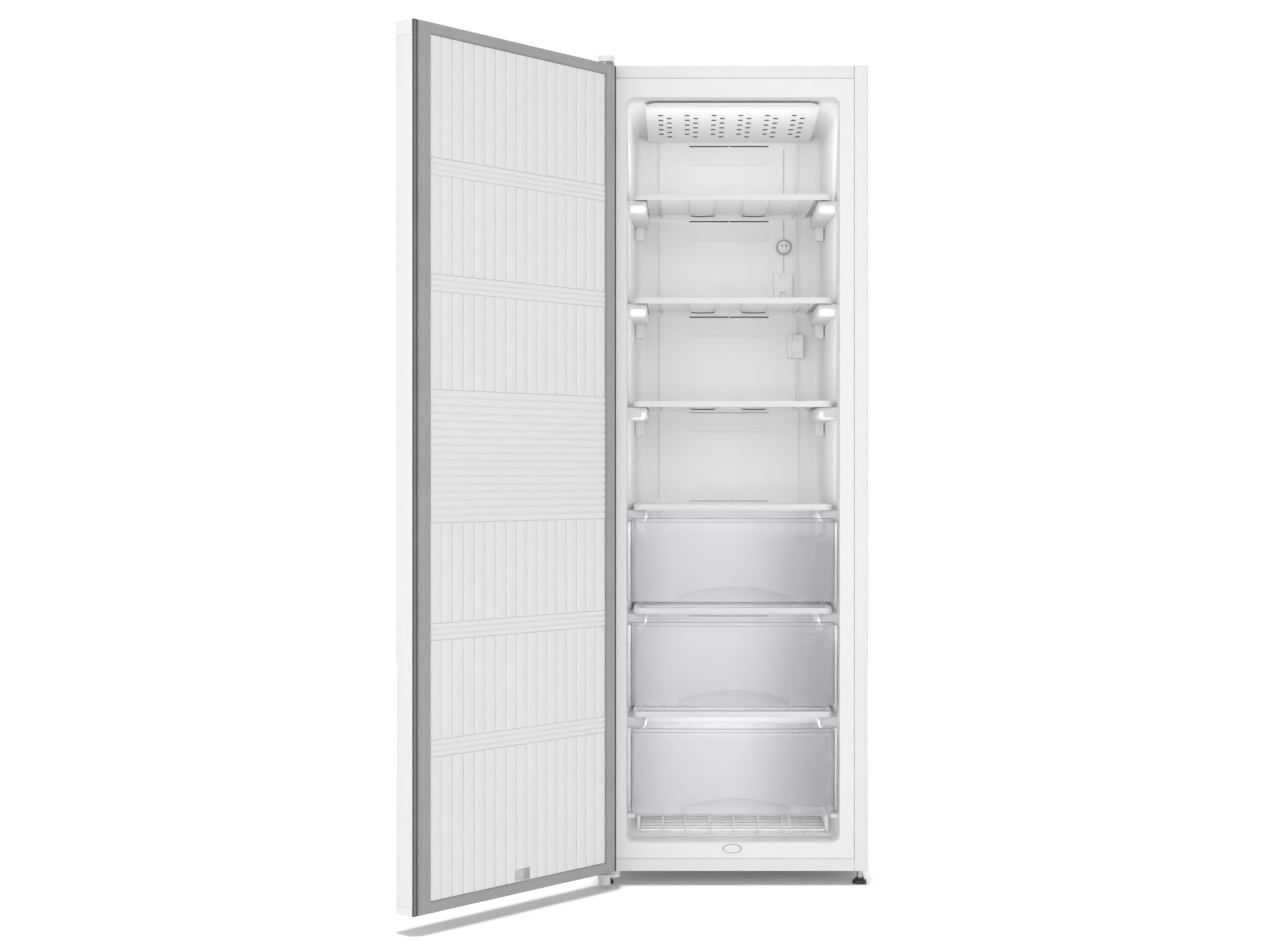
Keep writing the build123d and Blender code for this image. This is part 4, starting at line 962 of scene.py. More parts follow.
GROUPS, GROUP_PITCH = 6, 56.17
COLUMN_SLOTS, SLOT_PITCH = 5, 42.4
columns = []
for group in range(GROUPS):
    for dx, start in ((-9, 121.5), (9, 147)):
        middle = (group - (GROUPS - 1) / 2) * GROUP_PITCH + dx
        column = start_block("slot", (middle - 5, middle + 5), (start - 7, start + 7), (1560, 1620))
        repeat(column, COLUMN_SLOTS, y=SLOT_PITCH)
        columns.append(column)
grille = gather(columns[0], *columns[1:])
print("diffuser slots", COLUMN_SLOTS * len(columns))

# %% [markdown]
# Only shade is seen in the slots. A copy of them, pressed flat so that it lies within the plate and given a
# dark finish, paints that shade. Pressing a whole piece about a centre is a small helper, for it comes back
# with the ovals and the shelves.

# %% Pressing, and the painted shade in the slots
def press(piece, shares, centre):
    edit(piece)
    bpy.ops.mesh.select_all(action="SELECT")
    bpy.ops.transform.resize(value=shares, center_override=centre)
    done()


# A flat dark copy of the slots is painted shade.
slot_shade_sheet = copy_of(grille, "diffuser_painted_shade")
press(slot_shade_sheet, (1, 1, 0.03), at(0, 0, 1595.7))
print("screen, faces:", len(slot_shade_sheet.data.polygons))

# %% [markdown]
# The plate gets its slots, a narrow upstand along each side and a low lip at the front. Then the plate and
# the painted shade in its slots are lowered, corner by corner, by a share of the distance from the front,
# and so they follow the slope of the ceiling.

# %% Rim and slope of the diffuser
CEILING_SLOPE = 0.0563
carve(diffuser, grille)
for x in ((-HALF_WIDTH, -177), (177, HALF_WIDTH)):
    weld(diffuser, start_block("upstand", x, (56, 369), (1595, 1604.9)))
weld(diffuser, start_block("front_lip", (-164, 164), (31.2, 33.4), (1595, 1599)))
soften(diffuser, 0.5, 1)
for piece in (diffuser, slot_shade_sheet):
    for corner in piece.data.vertices:
        corner.co.z -= (cabinet_mm(corner.co).y - PLATE_FRONT) * CEILING_SLOPE / 1000
fit_in(slot_shade_sheet, "cabinet", shade_grey, "grey_plastic")
fit_in(diffuser, "cabinet", moulded_white, "white_plastic", "ceiling_air_diffuser")

# %% [markdown]
# ## Drain spout
# Low on the face, under the opening, meltwater leaves through a small oval spout: a dark oval of painted
# shadow round it, a white rim, and the hollow in it. All three start as round bars pressed to an oval.

# %% Drain spout
SPOUT = (-2, 74.5)


def oval(name, radius, y):
    bar = start_rod(name, "Y", SPOUT, y, radius, 48)
    press(bar, (1, 1, 0.47), at(SPOUT[0], 0, SPOUT[1]))
    return bar


# The dark oval behind the rim is painted shadow.
spout_shadow = oval("spout_painted_shadow", 18.9, (-0.9, 0.4))
spout = oval("spout_rim", 17.6, (-2.1, 0.3))
carve(spout, oval("spout_hole", 13.5, (-5, -1.3)))
soften(spout, 0.4, 2)
fit_in(spout, "cabinet", moulded_white, "white_plastic", "drain_spout")
fit_in(spout_shadow, "cabinet", shade_grey, "grey_plastic")

# %% [markdown]
# ## Sensor covers
# On the right of the duct cover sit a cable channel with an H-shaped box, and a small plate. Box and plate
# have the same make: a block with two notches, softened at its edges.

# %% Sensor covers
CHANNEL_X, CHANNEL_FRONT, COVER_FACE = (145.5, 150.5), 367.5, 370.9


def notched_box(name, x, front, z, notch_x, notch_back, notch_spans):
    block = start_block(name, x, (front, COVER_FACE), z)
    carve(block, *[start_block("notch", notch_x, (350, notch_back), span) for span in notch_spans])
    soften(block, 1.6, 3)
    return block


channel = start_block("cable_channel", CHANNEL_X, (CHANNEL_FRONT, COVER_FACE), (1001, 1569))
edit(channel)
for x in CHANNEL_X:
    pick("EDGE", y=CHANNEL_FRONT, x=x)
    round_picked(2, 4)
done()
h_box = notched_box("h_box", (131, 165), 355, (1094, 1146), (139, 157), 359, ((1090, 1106), (1134, 1150)))
plate = notched_box("sensor_plate", (99, 141), 362, (1228.9, 1282.9), (114, 126), 367.5,
                    ((1225, 1241), (1271, 1290)))
sensors = gather(channel, h_box, plate)
smooth(sensors)
sensors.name = "sensor_covers_dressed"
fit_in(sensors, "cabinet", moulded_white, "white_plastic", "sensor_covers")

# %% [markdown]
# ## Thermostat knob
# The knob is a turned disc with a fluted grey rim and a raised grip. The flutes are cut by small prisms set
# round the rim. Two small grey dots sit beside the grip and share the rim's finish, so they go with it.

# %% Rim of the knob
FLUTES, FLUTE_CIRCLE = 20, 17.2
rim = start_rod("knob_rim", "Y", KNOB, (363, 370.4), 17, 64)
flutes = []
for number in range(FLUTES):
    angle = 2 * pi * number / FLUTES
    place = (KNOB[0] + FLUTE_CIRCLE * cos(angle), KNOB[1] + FLUTE_CIRCLE * sin(angle))
    flutes.append(start_rod("flute", "Y", place, (355, 368), 1.6, 10))
carve(rim, gather(flutes[0], *flutes[1:]))
dots = [start_rod("dot", "Y", (x, KNOB[1] + 3), (359.6, 361.5), 2.5, 16) for x in (117.2, 126.8)]
rim = gather(rim, *dots)
smooth(rim)
print("rim with", FLUTES, "flutes, faces:", len(rim.data.polygons))

# %% [markdown]
# The disc has a raised edge and a sunken face. Both come from the same front face, which is inset and
# pulled, then inset and pulled again. The grip is a block with rounded ends, and a stem goes through the
# duct cover.

# %% Knob
def pull(x=0, y=0, z=0):
    """Extrudes the picked faces by a distance in millimetres."""
    bpy.ops.mesh.extrude_region_move(TRANSFORM_OT_translate={"value": (x / 1000, y / 1000, z / 1000)})


GRIP_X, GRIP_Z = (119.7, 124.3), (1329, 1353)
knob = start_rod("knob_dressed", "Y", KNOB, (360, 368), 13.2, 48)
edit(knob)
pick("FACE", facing=(0, -1, 0))
bpy.ops.mesh.inset(thickness=0.0012)
pull(y=-1)
bpy.ops.mesh.inset(thickness=0.001)
pull(y=1.2)
done()
grip = start_block("knob_grip", GRIP_X, (352.2, 362), GRIP_Z)
edit(grip)
for x in GRIP_X:
    for z in GRIP_Z:
        pick("EDGE", x=x, z=z)
        round_picked(2, 4)
done()
knob = gather(knob, grip, start_rod("knob_stem", "Y", KNOB, (368, 388), 3, 24))
smooth(knob)
fit_in(knob, "knob", moulded_white, "white_plastic", "thermostat_knob")
fit_in(rim, "knob", grey_moulding, "grey_plastic")

# %% [markdown]
# ## Shelves
# A shelf is a thin skin with a skirt round it and ribs below, as moulded plastic is: solid, it would sink
# in where it is thick. The underside of the upper shelves is what the eye sees first in this freezer, so
# the hollow, the ribs and the two U-shaped walls are all there. One shelf is made and copied five times.

# %% Board of the first shelf
BOARD_HALF, BOARD_FRONT, HOLLOW = 204.4, 35, 9.2
top = SHELF_TOPS[0]
shelf = start_block("shelf_board_1", (-BOARD_HALF, BOARD_HALF), (BOARD_FRONT, 340), (top - 12.4, top))
edit(shelf)
for x in (-BOARD_HALF, BOARD_HALF):
    pick("EDGE", x=x, y=BOARD_FRONT)
    round_picked(14, 6)
pick("FACE", facing=(0, 0, -1))
bpy.ops.mesh.inset(thickness=0.0026)
pull(z=HOLLOW)
done()
print("hollow board, faces:", len(shelf.data.polygons))

# %% [markdown]
# A U-shaped wall has two straight legs and a rounded back. The back is half a ring: a round bar is
# hollowed, its front half is cut off, and what is left is pressed flatter.

# %% Ribs under the shelf
RIB_LOW, RIB_HIGH = top - HOLLOW, top - 2
U_MIDDLES, U_BACK = (-59, 53), 317


def half_ring(name, place, z, radius, inside, cut_to):
    ring_room = (RIB_LOW - 5, top + 5)
    bar = start_rod(name, "Z", place, z, radius, 48)
    carve(bar, start_rod("u_room", "Z", place, ring_room, inside, 48))
    carve(bar, start_block("u_front", (place[0] - 40, place[0] + 40), (270, cut_to), ring_room))
    press(bar, (1, 0.52, 1), at(*place, 0))
    return bar


ribs = [start_block("rib", (x - 1, x + 1), (37, 338), (RIB_LOW, RIB_HIGH)) for x in (-176, -148, 140, 168)]
for x in U_MIDDLES:
    for leg in (x - 28, x + 28):
        ribs.append(start_block("u_wall", (leg - 1, leg + 1), (37, U_BACK), (RIB_LOW, RIB_HIGH)))
    ribs.append(half_ring("u_end", (x, U_BACK), (RIB_LOW, RIB_HIGH), 29, 27, U_BACK))
print("ribs, legs and ends:", len(ribs))

# %% [markdown]
# From the front a thin dark line follows the rounded back of each U. It is painted shade: a thinner half
# ring inside the wall, with a dark finish, made in the same way as the wall.

# %% First shelf and its lines of painted shade
SHADE_BACK = 316.4
# Each thin dark half ring is painted shade.
shade = gather(*[half_ring("u_shade", (x, SHADE_BACK), (top - 8.6, top - 6.6), 26.9, 26.2, 326)
                 for x in U_MIDDLES])
shade.name = "shelf_shade_1"
fit_in(shade, "shelf_1", shade_grey, "grey_plastic")
shelf = gather(shelf, *ribs)
soften(shelf, 0.55, 2)
fit_in(shelf, "shelf_1", shelf_white_painted_shade, "white_plastic", "shelf_1")

# %% [markdown]
# All six shelves are of one mould, so the other five are copies, each at its own level and on its own body.

# %% Five more shelves
for number, level in enumerate(SHELF_TOPS[1:], 2):
    twin = copy_of(shelf, f"shelf_board_{number}", z=level - top)
    fit_in(twin, f"shelf_{number}", shelf_white_painted_shade, "white_plastic", f"shelf_{number}")
    twin_shade = copy_of(shade, f"shelf_shade_{number}", z=level - top)
    fit_in(twin_shade, f"shelf_{number}", shade_grey, "grey_plastic")

# %% [markdown]
# ## Drawers
# The drawers are moulded in clear smoke plastic: a front that bows a few millimetres, an arch low in its
# middle where the fingers go, and a tub behind it. The arch is a block whose top face is divided, and the
# new corners are moved up along a parabola.

# %% Arch for the fingers
ARCH_MIDDLE, ARCH_FOOT = 2.5, 12


def arch_cutter(name, y, low, half, rise):
    """A low arch standing on the drawer's lower edge."""
    cutter = start_block(name, (ARCH_MIDDLE - half, ARCH_MIDDLE + half), y, (low - 1, low + ARCH_FOOT))
    edit(cutter)
    pick("FACE", facing=(0, 0, 1))
    bpy.ops.mesh.subdivide(number_cuts=15)
    done()
    for corner in cutter.data.vertices:
        place = cabinet_mm(corner.co)
        if place.z > low + ARCH_FOOT - 1:
            share = (place.x - ARCH_MIDDLE) / half
            corner.co.z = at(0, 0, low + ARCH_FOOT + (rise - ARCH_FOOT) * (1 - share * share)).z
    return cutter


print("arch middle", ARCH_MIDDLE, "mm right of the cabinet's middle")

# %% [markdown]
# The bow needs more corners than a block has. Planes cut the block into twelve slices, and then whatever
# lies near its front is moved back, more and more towards the sides.

# %% Bowed front
FRONT_HALF, BOW = 208.5, 7.9
SLICES = 12


def bow_front(piece, half, depth):
    """Bends what lies before the depth."""
    edit(piece)
    for cut in range(1, SLICES):
        bpy.ops.mesh.select_all(action="SELECT")
        bpy.ops.mesh.bisect(plane_co=at(half * (2 * cut / SLICES - 1), 0, 0), plane_no=(1, 0, 0))
    done()
    for corner in piece.data.vertices:
        place = cabinet_mm(corner.co)
        if place.y < depth:
            corner.co.y += BOW * (place.x / half) ** 2 / 1000


def front_block(name, half, y, z, radius):
    block = start_block(name, (-half, half), y, z)
    bow_front(block, half, y[0] + 1)
    edit(block)
    for x in (-half, half):
        pick("EDGE", x=x, y=(y[0] + 7, y[0] + 9))
        round_picked(radius, 6)
    done()
    return block


print("drawer front", 2 * FRONT_HALF, "mm wide, bowed by", BOW)

# %% [markdown]
# The front is a bowed block hollowed by a smaller one. The arch is cut out of it, and a thin pocket of the
# same form is set in behind, for the fingers. The tub starts as a block whose top face is pressed in.

# %% Front and tub
TUB_HALF, TUB_WALL = 196, 2.5


def drawer_front(name, low, high):
    front = front_block(name, FRONT_HALF, (12.1, 40), (low, high), 12)
    carve(front, front_block("front_inside", 205.5, (15.2, 60), (low - 5, high + 5), 9))
    carve(front, arch_cutter("arch_hole", (5, 21.4), low, 113, 32))
    pocket = arch_cutter("arch_pocket", (14.6, 24), low, 112.9, 31.9)
    carve(pocket, arch_cutter("arch_hollow", (5, 21.6), low - 0.6, 110.5, 30))
    weld(front, pocket)
    soften(front, 0.8, 2)
    return front


def drawer_tub(floor, wall_top, rear):
    tub = start_block("tub", (-TUB_HALF, TUB_HALF), (24, rear), (floor, wall_top))
    edit(tub)
    for x in (-TUB_HALF, TUB_HALF):
        pick("EDGE", x=x, y=rear)
        round_picked(14, 6)
    pick("FACE", facing=(0, 0, 1))
    bpy.ops.mesh.inset(thickness=TUB_WALL / 1000)
    pull(z=floor + TUB_WALL - wall_top)
    done()
    soften(tub, 0.6, 2)
    return tub


print("tub", 2 * TUB_HALF, "mm wide, wall", TUB_WALL)

# %% [markdown]
# Two runners under the tub carry it. The upper two drawers stand on the shelves below them. The lowest one
# runs on the narrow rails, and it is shallower, since the step over the machine bay is behind it.

# %% Three drawers
HIGH_FRONT = (SHELF_TOPS[4] + 14, SHELF_TOPS[3] - 27.5)
LOW_FRONT = (142, 316.9)


def drawer(name, span, floor, wall_top, rear, runner_low, runner_half):
    front = drawer_front(name, *span)
    tub = drawer_tub(floor, wall_top, rear)
    runners = []
    for side_of in (-1, 1):
        x = tuple(sorted((side_of * (runner_half - 3), side_of * runner_half)))
        runners.append(start_block("runner", x, (42, rear - 16), (runner_low, floor + 1)))
    whole = gather(front, tub, *runners)
    smooth(whole)
    return whole


drawer_1 = drawer("smoke_drawer_1", HIGH_FRONT, HIGH_FRONT[0], SHELF_TOPS[3] - 74, 330, SHELF_TOPS[4], 189.5)
drawer_2 = copy_of(drawer_1, "smoke_drawer_2", z=-SHELF_PITCH)
drawer_3 = drawer("smoke_drawer_3", LOW_FRONT, 155, 299.9, 236, 141, 196)
print("drawer faces:", [len(tray.data.polygons) for tray in (drawer_1, drawer_2, drawer_3)])

# %% [markdown]
# Clear plastic looks darkest where one looks along it. Thin dark lines paint that darkening on: two bowed
# ones along the top of the front, and an upright one at each end.

# %% Painted dark edges of the drawers
def edge_lines(name, low, high):
    lines = []
    for z in ((high - 1.3, high - 0.4), (high - 8.6, high - 7.9)):
        line = start_block(name, (-205, 205), (11.9, 12.7), z)
        bow_front(line, FRONT_HALF, 100)
        lines.append(line)
    for x in ((-208.7, -207.6), (207.6, 208.7)):
        lines.append(start_block(name, x, (24, 26.5), (low + 4, high - 3)))
    return gather(*lines)


# These lines are painted darkening, not parts of the drawer.
edges_1 = edge_lines("drawer_edges_1", *HIGH_FRONT)
edges_2 = copy_of(edges_1, "drawer_edges_2", z=-SHELF_PITCH)
edges_3 = edge_lines("drawer_edges_3", *LOW_FRONT)
for number, edges in enumerate((edges_1, edges_2, edges_3), 1):
    fit_in(edges, f"drawer_{number}", smoke_edge_painted_dark, "smoke_plastic")
for number, tray in enumerate((drawer_1, drawer_2, drawer_3), 1):
    fit_in(tray, f"drawer_{number}", smoke_plastic, "smoke_plastic", f"drawer_{number}")

# %% [markdown]
# ## Feet
# A front foot is a flat black pad on a steel thread. The pad's upper edge is rounded, and a narrow collar
# on it holds the thread. The right foot is made and copied to the left.

# %% Front feet
FOOT = (259, 22)
PAD_TOP = 7.5
pad = start_rod("foot_pad_right", "Z", FOOT, (0, PAD_TOP), 14.4, 40)
edit(pad)
pick("FACE", z=PAD_TOP)
bpy.ops.mesh.region_to_loop()
round_picked(2.5, 4)
done()
pad = gather(pad, start_rod("foot_collar", "Z", FOOT, (7.4, 11.5), 9, 32))
smooth(pad)
thread = start_rod("foot_thread_right", "Z", FOOT, (11.5, 44.5), 4.9, 32)
smooth(thread)
left_pad = copy_of(pad, "foot_pad_left", x=-2 * FOOT[0])
left_thread = copy_of(thread, "foot_thread_left", x=-2 * FOOT[0])
fit_in(pad, "foot_right", black_moulding, "black_plastic", "right_front_foot")
fit_in(left_pad, "foot_left", black_moulding, "black_plastic", "left_front_foot")
fit_in(thread, "foot_right", bright_steel, "bright_steel")
fit_in(left_thread, "foot_left", bright_steel, "bright_steel")

# %% [markdown]
# ## The door
# The door's pieces are made shut, where their sizes are easy to read, and then turned open about the hinge.
# The outer panel is one sheet folded round three sides, with a wide radius at its two long edges. Moulded
# caps close its top and bottom.

# %% Door outer panel
HINGE = (-261.0, -29.5)
DOOR_OPEN = radians(130.3)
DOOR_X, DOOR_FACE, DOOR_BACK = (-274, 273.5), -60, -10
LONG_EDGE = 12


def swing_open(piece):
    choose(piece)
    bpy.ops.transform.rotate(value=DOOR_OPEN, orient_axis="Z", center_override=at(*HINGE, 0))
    settle(piece.name)


door_skin = start_sheet("door_skin", DOOR_X, DOOR_FACE, (50.7, 1632.8))
edit(door_skin)
for x, inwards in zip(DOOR_X, (14, -14)):
    pick("EDGE", x=x, y=DOOR_FACE)
    fold(y=DOOR_BACK - DOOR_FACE)
    pick("EDGE", x=x, y=DOOR_BACK)
    fold(x=inwards)
    pick("EDGE", x=x, y=DOOR_FACE)
    round_picked(LONG_EDGE, 8)
    pick("EDGE", x=x, y=DOOR_BACK)
    round_picked(1.4, 3)
done()
thicken(door_skin, 0.8)
smooth(door_skin)
swing_open(door_skin)
fit_in(door_skin, "door", white_enamel, "white_steel", "door_outer_panel")

# %% [markdown]
# The caps are moulded, so their outer rim is rounded all the way round. Each has a bore for the bush that
# turns on the hinge pin.

# %% Door caps
def door_cap(name, z, rim, bore, radius):
    cap = start_block(name, DOOR_X, (DOOR_FACE, -10.1), z)
    edit(cap)
    for x in DOOR_X:
        pick("EDGE", x=x, y=DOOR_FACE)
        round_picked(LONG_EDGE, 8)
    done()
    carve(cap, start_rod("bush_hole", "Z", HINGE, bore, 7.2))
    edit(cap)
    pick("FACE", z=rim)
    bpy.ops.mesh.region_to_loop()
    round_picked(radius, 5)
    done()
    smooth(cap, 40)
    swing_open(cap)
    return cap


top_cap = door_cap("door_cap_top", (1633.2, 1661), 1661, (1639, 1666), 5)
low_cap = door_cap("door_cap_low", (35, 50.3), 35, (30, 57), 3)
fit_in(top_cap, "door", moulded_white, "white_plastic", "door_top_cap")
fit_in(low_cap, "door", moulded_white, "white_plastic", "door_bottom_cap")

# %% [markdown]
# ## Gasket
# The magnetic gasket is a soft profile in a frame. A ring is the right start: a plane the size of the door
# is inset by the profile's width, the middle is deleted, and the ring is pulled up and inset again for the
# grooves that run all the way round it.

# %% A frame of vinyl and its profile
def ring(name, x, y, z, side, end):
    """Frame of flat vinyl: side is its width at the sides, end at the top and bottom."""
    piece = start_sheet(name, x, y, z)
    edit(piece)
    bpy.ops.mesh.select_all(action="SELECT")
    bpy.ops.mesh.inset(thickness=side / 1000)
    bpy.ops.mesh.delete(type="FACE")
    for level, move in ((z[0] + side, end - side), (z[1] - side, side - end)):
        pick("VERT", z=level)
        bpy.ops.transform.translate(value=(0, 0, move / 1000))
    done()
    return piece


def ring_profile(piece, steps):
    """Pulls and insets the ring's face in turn: (inset, rise) pairs in millimetres."""
    edit(piece)
    bpy.ops.mesh.select_all(action="SELECT")
    for inset, rise in steps:
        if inset:
            bpy.ops.mesh.inset(thickness=inset / 1000, use_boundary=True, use_even_offset=True)
        if rise:
            pull(y=rise)
    done()


bulb = ring("gasket_bulb", (-262, 261.5), -10, (37, 1659), 26, 21)
ring_profile(bulb, [(0, 7.6), (1.2, 1.2), (1.3, 0.7), (4.0, 0), (1.0, -0.5)])
face_outwards(bulb)
smooth(bulb, 40)
print("gasket bulb, faces:", len(bulb.data.polygons))

# %% [markdown]
# Outside the bulb lies a thin flap of the same vinyl, with a darker finish: painted shade, since it lies in
# the bulb's shade. Two fine dark frames of painted shade draw what the eye reads as depth: the outer edge of
# the flap, and the groove between flap and bulb.

# %% Gasket
# The flap's darker finish is painted shade.
flap = ring("gasket_flap_painted_shade", (-273, 272.5), -9.9, (35.6, 1660.4), 13, 3)
thicken(flap, 1.6, side=1.0)
soften(flap, 0.5, 2)
# Two thin dark frames, at the edge and in the groove, are painted shade.
edge = ring("gasket_edge_painted_shade", (-273.0, 272.5), -8.3, (35.6, 1660.4), 1.7, 1.4)
thicken(edge, 0.5, side=1.0)
groove = ring("gasket_groove_painted_shade", (-263.4, 262.9), -8.2, (36.4, 1659.6), 1.3, 0.6)
thicken(groove, 0.4, side=1.0)
edge = gather(edge, groove)
for piece in (bulb, flap, edge):
    swing_open(piece)
fit_in(edge, "door", shade_grey, "gasket_grey")
fit_in(bulb, "door", gasket_vinyl, "gasket_grey", "door_gasket")
fit_in(flap, "door", gasket_flap_painted_shade, "gasket_grey")

# %% [markdown]
# ## Door liner
# The inner face of the door is a vacuum-formed panel: flat strips between fine upright grooves, crossed by
# bands of ridges level with the shelves. One strip with rounded edges is repeated seventeen times, so the
# gaps between the strips are the grooves. One rounded ridge is repeated in the same way up each band.

# %% Strips of the door liner
FIELD_X, FIELD_Z = (-235.0, 234.5), (59.0, 1637.0)
FACE_OF_STRIP = -3
STRIPS = 17
BANDS = [(SHELF_TOPS[5] - 30, SHELF_TOPS[5] + 3, 3), (SHELF_TOPS[4] - 30, SHELF_TOPS[4] + 3, 3),
         (SHELF_TOPS[3] - 28, SHELF_TOPS[2] + 5, 17), (SHELF_TOPS[1] - 30, SHELF_TOPS[1] + 3, 3),
         (SHELF_TOPS[0] - 30, SHELF_TOPS[0] + 3, 3)]
strip_pitch = (FIELD_X[1] - FIELD_X[0]) / STRIPS


def strips_between(low, high):
    x = (FIELD_X[0] + 0.8, FIELD_X[0] + strip_pitch - 0.8)
    strip = start_block("strip", x, (-7, FACE_OF_STRIP), (low, high))
    edit(strip)
    for edge_x in x:
        pick("EDGE", x=edge_x, y=FACE_OF_STRIP)
        round_picked(1.3, 3)
    done()
    repeat(strip, STRIPS, x=strip_pitch)
    return strip


border = start_block("door_panel", (-235.8, 235.3), (-9.9, -5.6), (58.2, 1637.8))
levels = [FIELD_Z[0]] + [level for band in BANDS for level in band[:2]] + [FIELD_Z[1]]
fields = [strips_between(low, high) for low, high in zip(levels[::2], levels[1::2])]
print("strips", STRIPS, "pitch", round(strip_pitch, 2), "fields", len(fields))

# %% [markdown]
# A band is a ladder of ridges with round edges, and the middle band is the tall one. With the bands in
# place the whole panel is gathered and turned open.

# %% Bands of ridges
FACE_OF_RIDGE = -3.05


def ridge_band(low, high, count):
    pitch = (high - low) / count
    z = (low + 0.07 * pitch, low + 0.93 * pitch)
    ridge = start_block("ridge", (FIELD_X[0] + 1, FIELD_X[1] - 1), (-7.0, FACE_OF_RIDGE), z)
    edit(ridge)
    for edge_z in z:
        pick("EDGE", y=FACE_OF_RIDGE, z=edge_z)
        round_picked(2.6, 4)
    done()
    repeat(ridge, count, z=pitch)
    return ridge


ridges = [ridge_band(*band) for band in BANDS]
carve(fields[0], start_block("tab_notch", (-22, 18), (-8, 0), (55, 83)))
door_panel = gather(border, *fields, *ridges)
smooth(door_panel, 40)
swing_open(door_panel)
fit_in(door_panel, "door", liner_white, "white_liner", "door_liner")

# %% [markdown]
# A small tab sits in a notch low on the panel. It has two tones: a darker grey plate, and a lighter one
# beside it.

# %% Door tab
tab = start_block("door_tab", (-20.5, -5), (-5.6, -3.4), (61, 81.5))
plate = start_block("door_tab_plate", (-5.4, 16), (-4.7, -3.4), (62, 80.5))
for piece, colour in ((tab, grey_moulding), (plate, light_grey)):
    soften(piece, 0.6, 2)
    swing_open(piece)
    fit_in(piece, "door", colour, "grey_plastic")

# %% [markdown]
# ## Floor, light and camera
# The floor is a plain white sheet, and so large that its edge is never in view. Towards the camera it glows
# just enough to be white, the more the further it is from the cabinet, and so it still takes the shadow of
# the cabinet and the door. To all other rays it is a mid grey, or it would light the freezer from below.

# %% Floor
clear_selection()
bpy.ops.mesh.primitive_plane_add(size=9, location=at(0, 300, 0))
floor = settle("studio_floor")
floor_finish = bpy.data.materials.new("studio_floor")
floor_finish.use_nodes = True
floor.data.materials.append(floor_finish)
make, link = floor_finish.node_tree.nodes.new, floor_finish.node_tree.links.new
paper = floor_finish.node_tree.nodes["Principled BSDF"]
paper.inputs["Roughness"].default_value = 0.9
paper.inputs["Specular IOR Level"].default_value = 0.0
paper.inputs["Emission Color"].default_value = (1, 1, 1, 1)
rays = make("ShaderNodeLightPath")
bounce = make("ShaderNodeMix")
bounce.data_type = "RGBA"
bounce.inputs[MIX_A].default_value = (0.45, 0.45, 0.45, 1)
bounce.inputs[MIX_B].default_value = (0.62, 0.62, 0.62, 1)
link(rays.outputs["Is Camera Ray"], bounce.inputs["Factor"])
link(bounce.outputs[MIX_RESULT], paper.inputs["Base Color"])
print("floor", tuple(round(side, 1) for side in floor.dimensions))

# %% [markdown]
# The glow starts weak round the cabinet, and a smooth step over the distance brings it up to full white.

# %% Glow of the floor
WEAK_GLOW, FULL_GLOW = 0.13, 1.0
GLOW_START, GLOW_END = 0.6, 2.4
place = make("ShaderNodeTexCoord")
distance = make("ShaderNodeVectorMath")
distance.operation = "DISTANCE"
distance.inputs[1].default_value = at(-150, 100, 0)
fade = make("ShaderNodeMapRange")
fade.interpolation_type = "SMOOTHSTEP"
for end, start_value, end_value in (("From", GLOW_START, GLOW_END), ("To", WEAK_GLOW, FULL_GLOW)):
    fade.inputs[f"{end} Min"].default_value = start_value
    fade.inputs[f"{end} Max"].default_value = end_value
glow = make("ShaderNodeMath")
glow.operation = "MULTIPLY"
link(place.outputs["Object"], distance.inputs[0])
link(distance.outputs["Value"], fade.inputs["Value"])
link(rays.outputs["Is Camera Ray"], glow.inputs[0])
link(fade.outputs["Result"], glow.inputs[1])
link(glow.outputs["Value"], paper.inputs["Emission Strength"])
print("glow from", WEAK_GLOW, "to", FULL_GLOW)

# %% [markdown]
# The light of the room comes evenly from all sides and is only about half as strong as the white that is
# seen of it: the camera, a mirror image and a look through the smoke plastic all find a plain white room.

# %% Room light
scene = bpy.context.scene
room_light = bpy.data.worlds.new("room_light")
scene.world = room_light
room_light.use_nodes = True
make, link = room_light.node_tree.nodes.new, room_light.node_tree.links.new
base = room_light.node_tree.nodes["Background"]
base.inputs["Color"].default_value = (0.97, 0.98, 1.0, 1)
base.inputs["Strength"].default_value = 0.56
white = make("ShaderNodeBackground")
white.inputs["Color"].default_value = (1, 1, 1, 1)
white.inputs["Strength"].default_value = 1.0
rays = make("ShaderNodeLightPath")
seen, seen_through = make("ShaderNodeMath"), make("ShaderNodeMath")
seen.operation = seen_through.operation = "MAXIMUM"
choice = make("ShaderNodeMixShader")
link(rays.outputs["Is Camera Ray"], seen.inputs[0])
link(rays.outputs["Is Glossy Ray"], seen.inputs[1])
link(seen.outputs["Value"], seen_through.inputs[0])
link(rays.outputs["Is Transmission Ray"], seen_through.inputs[1])
link(seen_through.outputs["Value"], choice.inputs["Fac"])
link(base.outputs["Background"], choice.inputs[1])
link(white.outputs["Background"], choice.inputs[2])
link(choice.outputs["Shader"], room_light.node_tree.nodes["World Output"].inputs["Surface"])
print("room light", round(base.inputs["Strength"].default_value, 2))

# %% [markdown]
# A very broad soft lamp stands in front, as in a studio. A weak one at the left gives the sides a little
# shape.

# %% Front and side lamps
def soft_lamp(name, place, target, size, power):
    """Area lamp that shines from its place to a target; size is its width and height in metres."""
    clear_selection()
    bpy.ops.object.light_add(type="AREA", location=place)
    lamp = bpy.context.object
    lamp.name = name
    lamp.data.shape = "RECTANGLE"
    lamp.data.size, lamp.data.size_y = size
    lamp.data.energy = power
    lamp.rotation_euler = (target - place).to_track_quat("-Z", "Y").to_euler()
    return lamp


front_lamp = soft_lamp("front_lamp", at(0, -4200, 1500), at(0, 100, 850), (10.0, 2.6), 85)
side_lamp = soft_lamp("side_lamp", at(-3900, -2500, 1300), at(-300, -150, 850), (2.0, 2.0), 23)
print("front lamp", front_lamp.data.energy, "W, side lamp", side_lamp.data.energy, "W")

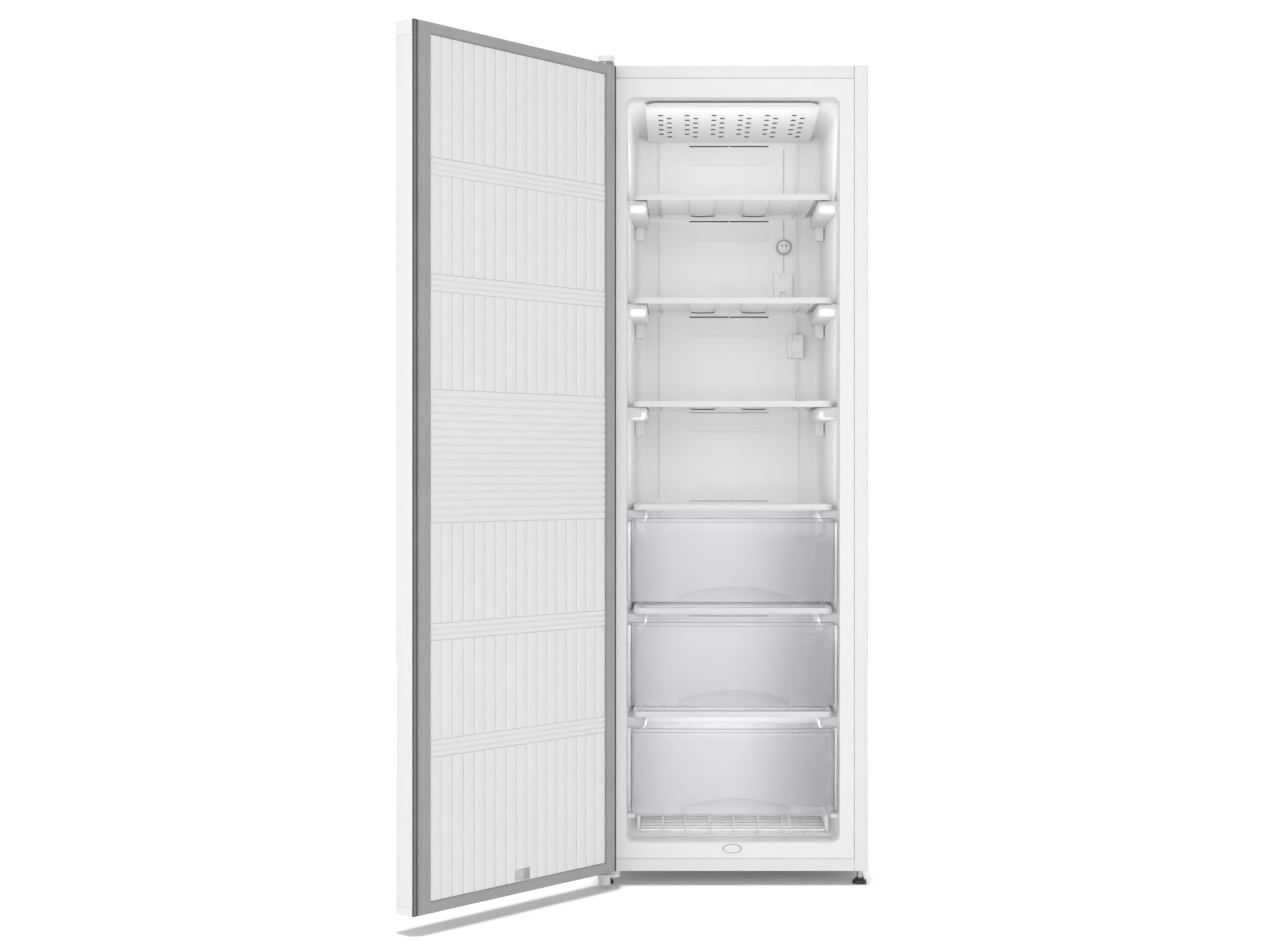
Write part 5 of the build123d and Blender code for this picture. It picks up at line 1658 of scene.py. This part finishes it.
# %% [markdown]
# Two lamps shine straight down. The strong one has a narrow angle and, by light linking, lights the floor
# alone: it draws the crisp shadow on the floor and leaves the cabinet as it is. The weak one is broader and
# lights everything, so the cabinet's top isn't grey when seen from above.

# %% Lamps from above
def sun_lamp(name, height, strength, angle):
    clear_selection()
    bpy.ops.object.light_add(type="SUN", location=at(0, 0, height), rotation=(0, 0, 0))
    lamp = bpy.context.object
    lamp.name = name
    lamp.data.energy = strength
    lamp.data.angle = radians(angle)
    return lamp


overhead_lamp = sun_lamp("overhead_lamp", 3000, 2.7, 2.5)
floor_only = bpy.data.collections.new("floor_only")
floor_only.objects.link(floor)
overhead_lamp.light_linking.receiver_collection = floor_only
top_lamp = sun_lamp("top_lamp", 3100, 0.9, 12)
print(top_lamp.name, "lights everything")

# %% [markdown]
# A deep white cabinet would look dim from the front. A small soft sheet of light stands in each
# compartment, just behind the shelf edges, and shines inwards and a little upwards. The camera doesn't see
# these sheets. A row gives the middle of a sheet, its height, its power and how far its aim is lifted.

# %% Lamps in the compartments
SHEETS = [
    (1495, 150, 0.22, 110), (1300, 180, 0.16, 50), (1087, 180, 0.16, 50), (875, 180, 0.175, 40),
    (657, 186, 0.42, 20), (445, 186, 0.42, 20), (236, 186, 0.40, 20), (112, 44, 0.035, 20)]
for number, (middle, height, power, lift) in enumerate(SHEETS, 1):
    lamp = soft_lamp(f"compartment_lamp_{number}", at(0, 60, middle), at(0, 400, middle + lift),
                     (0.42, height / 1000), power)
    lamp.visible_camera = False
    lamp.visible_glossy = False
    lamp.visible_transmission = False

# %% [markdown]
# The camera stands about four metres away, level, at half the cabinet's height and a little to its left.
# The picture was cut off-centre, so the lens is shifted sideways by the same share. Its focal length is
# known in pixels of the picture, and the width of the sensor turns it into millimetres.

# %% Camera
PICTURE_WIDTH, PICTURE_MIDDLE = 1261, 630.5
FOCAL_PIXELS, AXIS_PIXEL = 1967.5, 684.4
SENSOR = 36.0
clear_selection()
bpy.ops.object.camera_add(location=at(-99.2, -4006, 834.1), rotation=(pi / 2, 0, 0))
camera = bpy.context.object
camera.name = "studio_camera"
camera.data.sensor_width = SENSOR
camera.data.lens = FOCAL_PIXELS / PICTURE_WIDTH * SENSOR
camera.data.shift_x = -(AXIS_PIXEL - PICTURE_MIDDLE) / PICTURE_WIDTH
camera.data.clip_end = 100
scene.camera = camera
scene.view_settings.view_transform = "Standard"
print("lens", round(camera.data.lens, 2), "shift", round(camera.data.shift_x, 4))
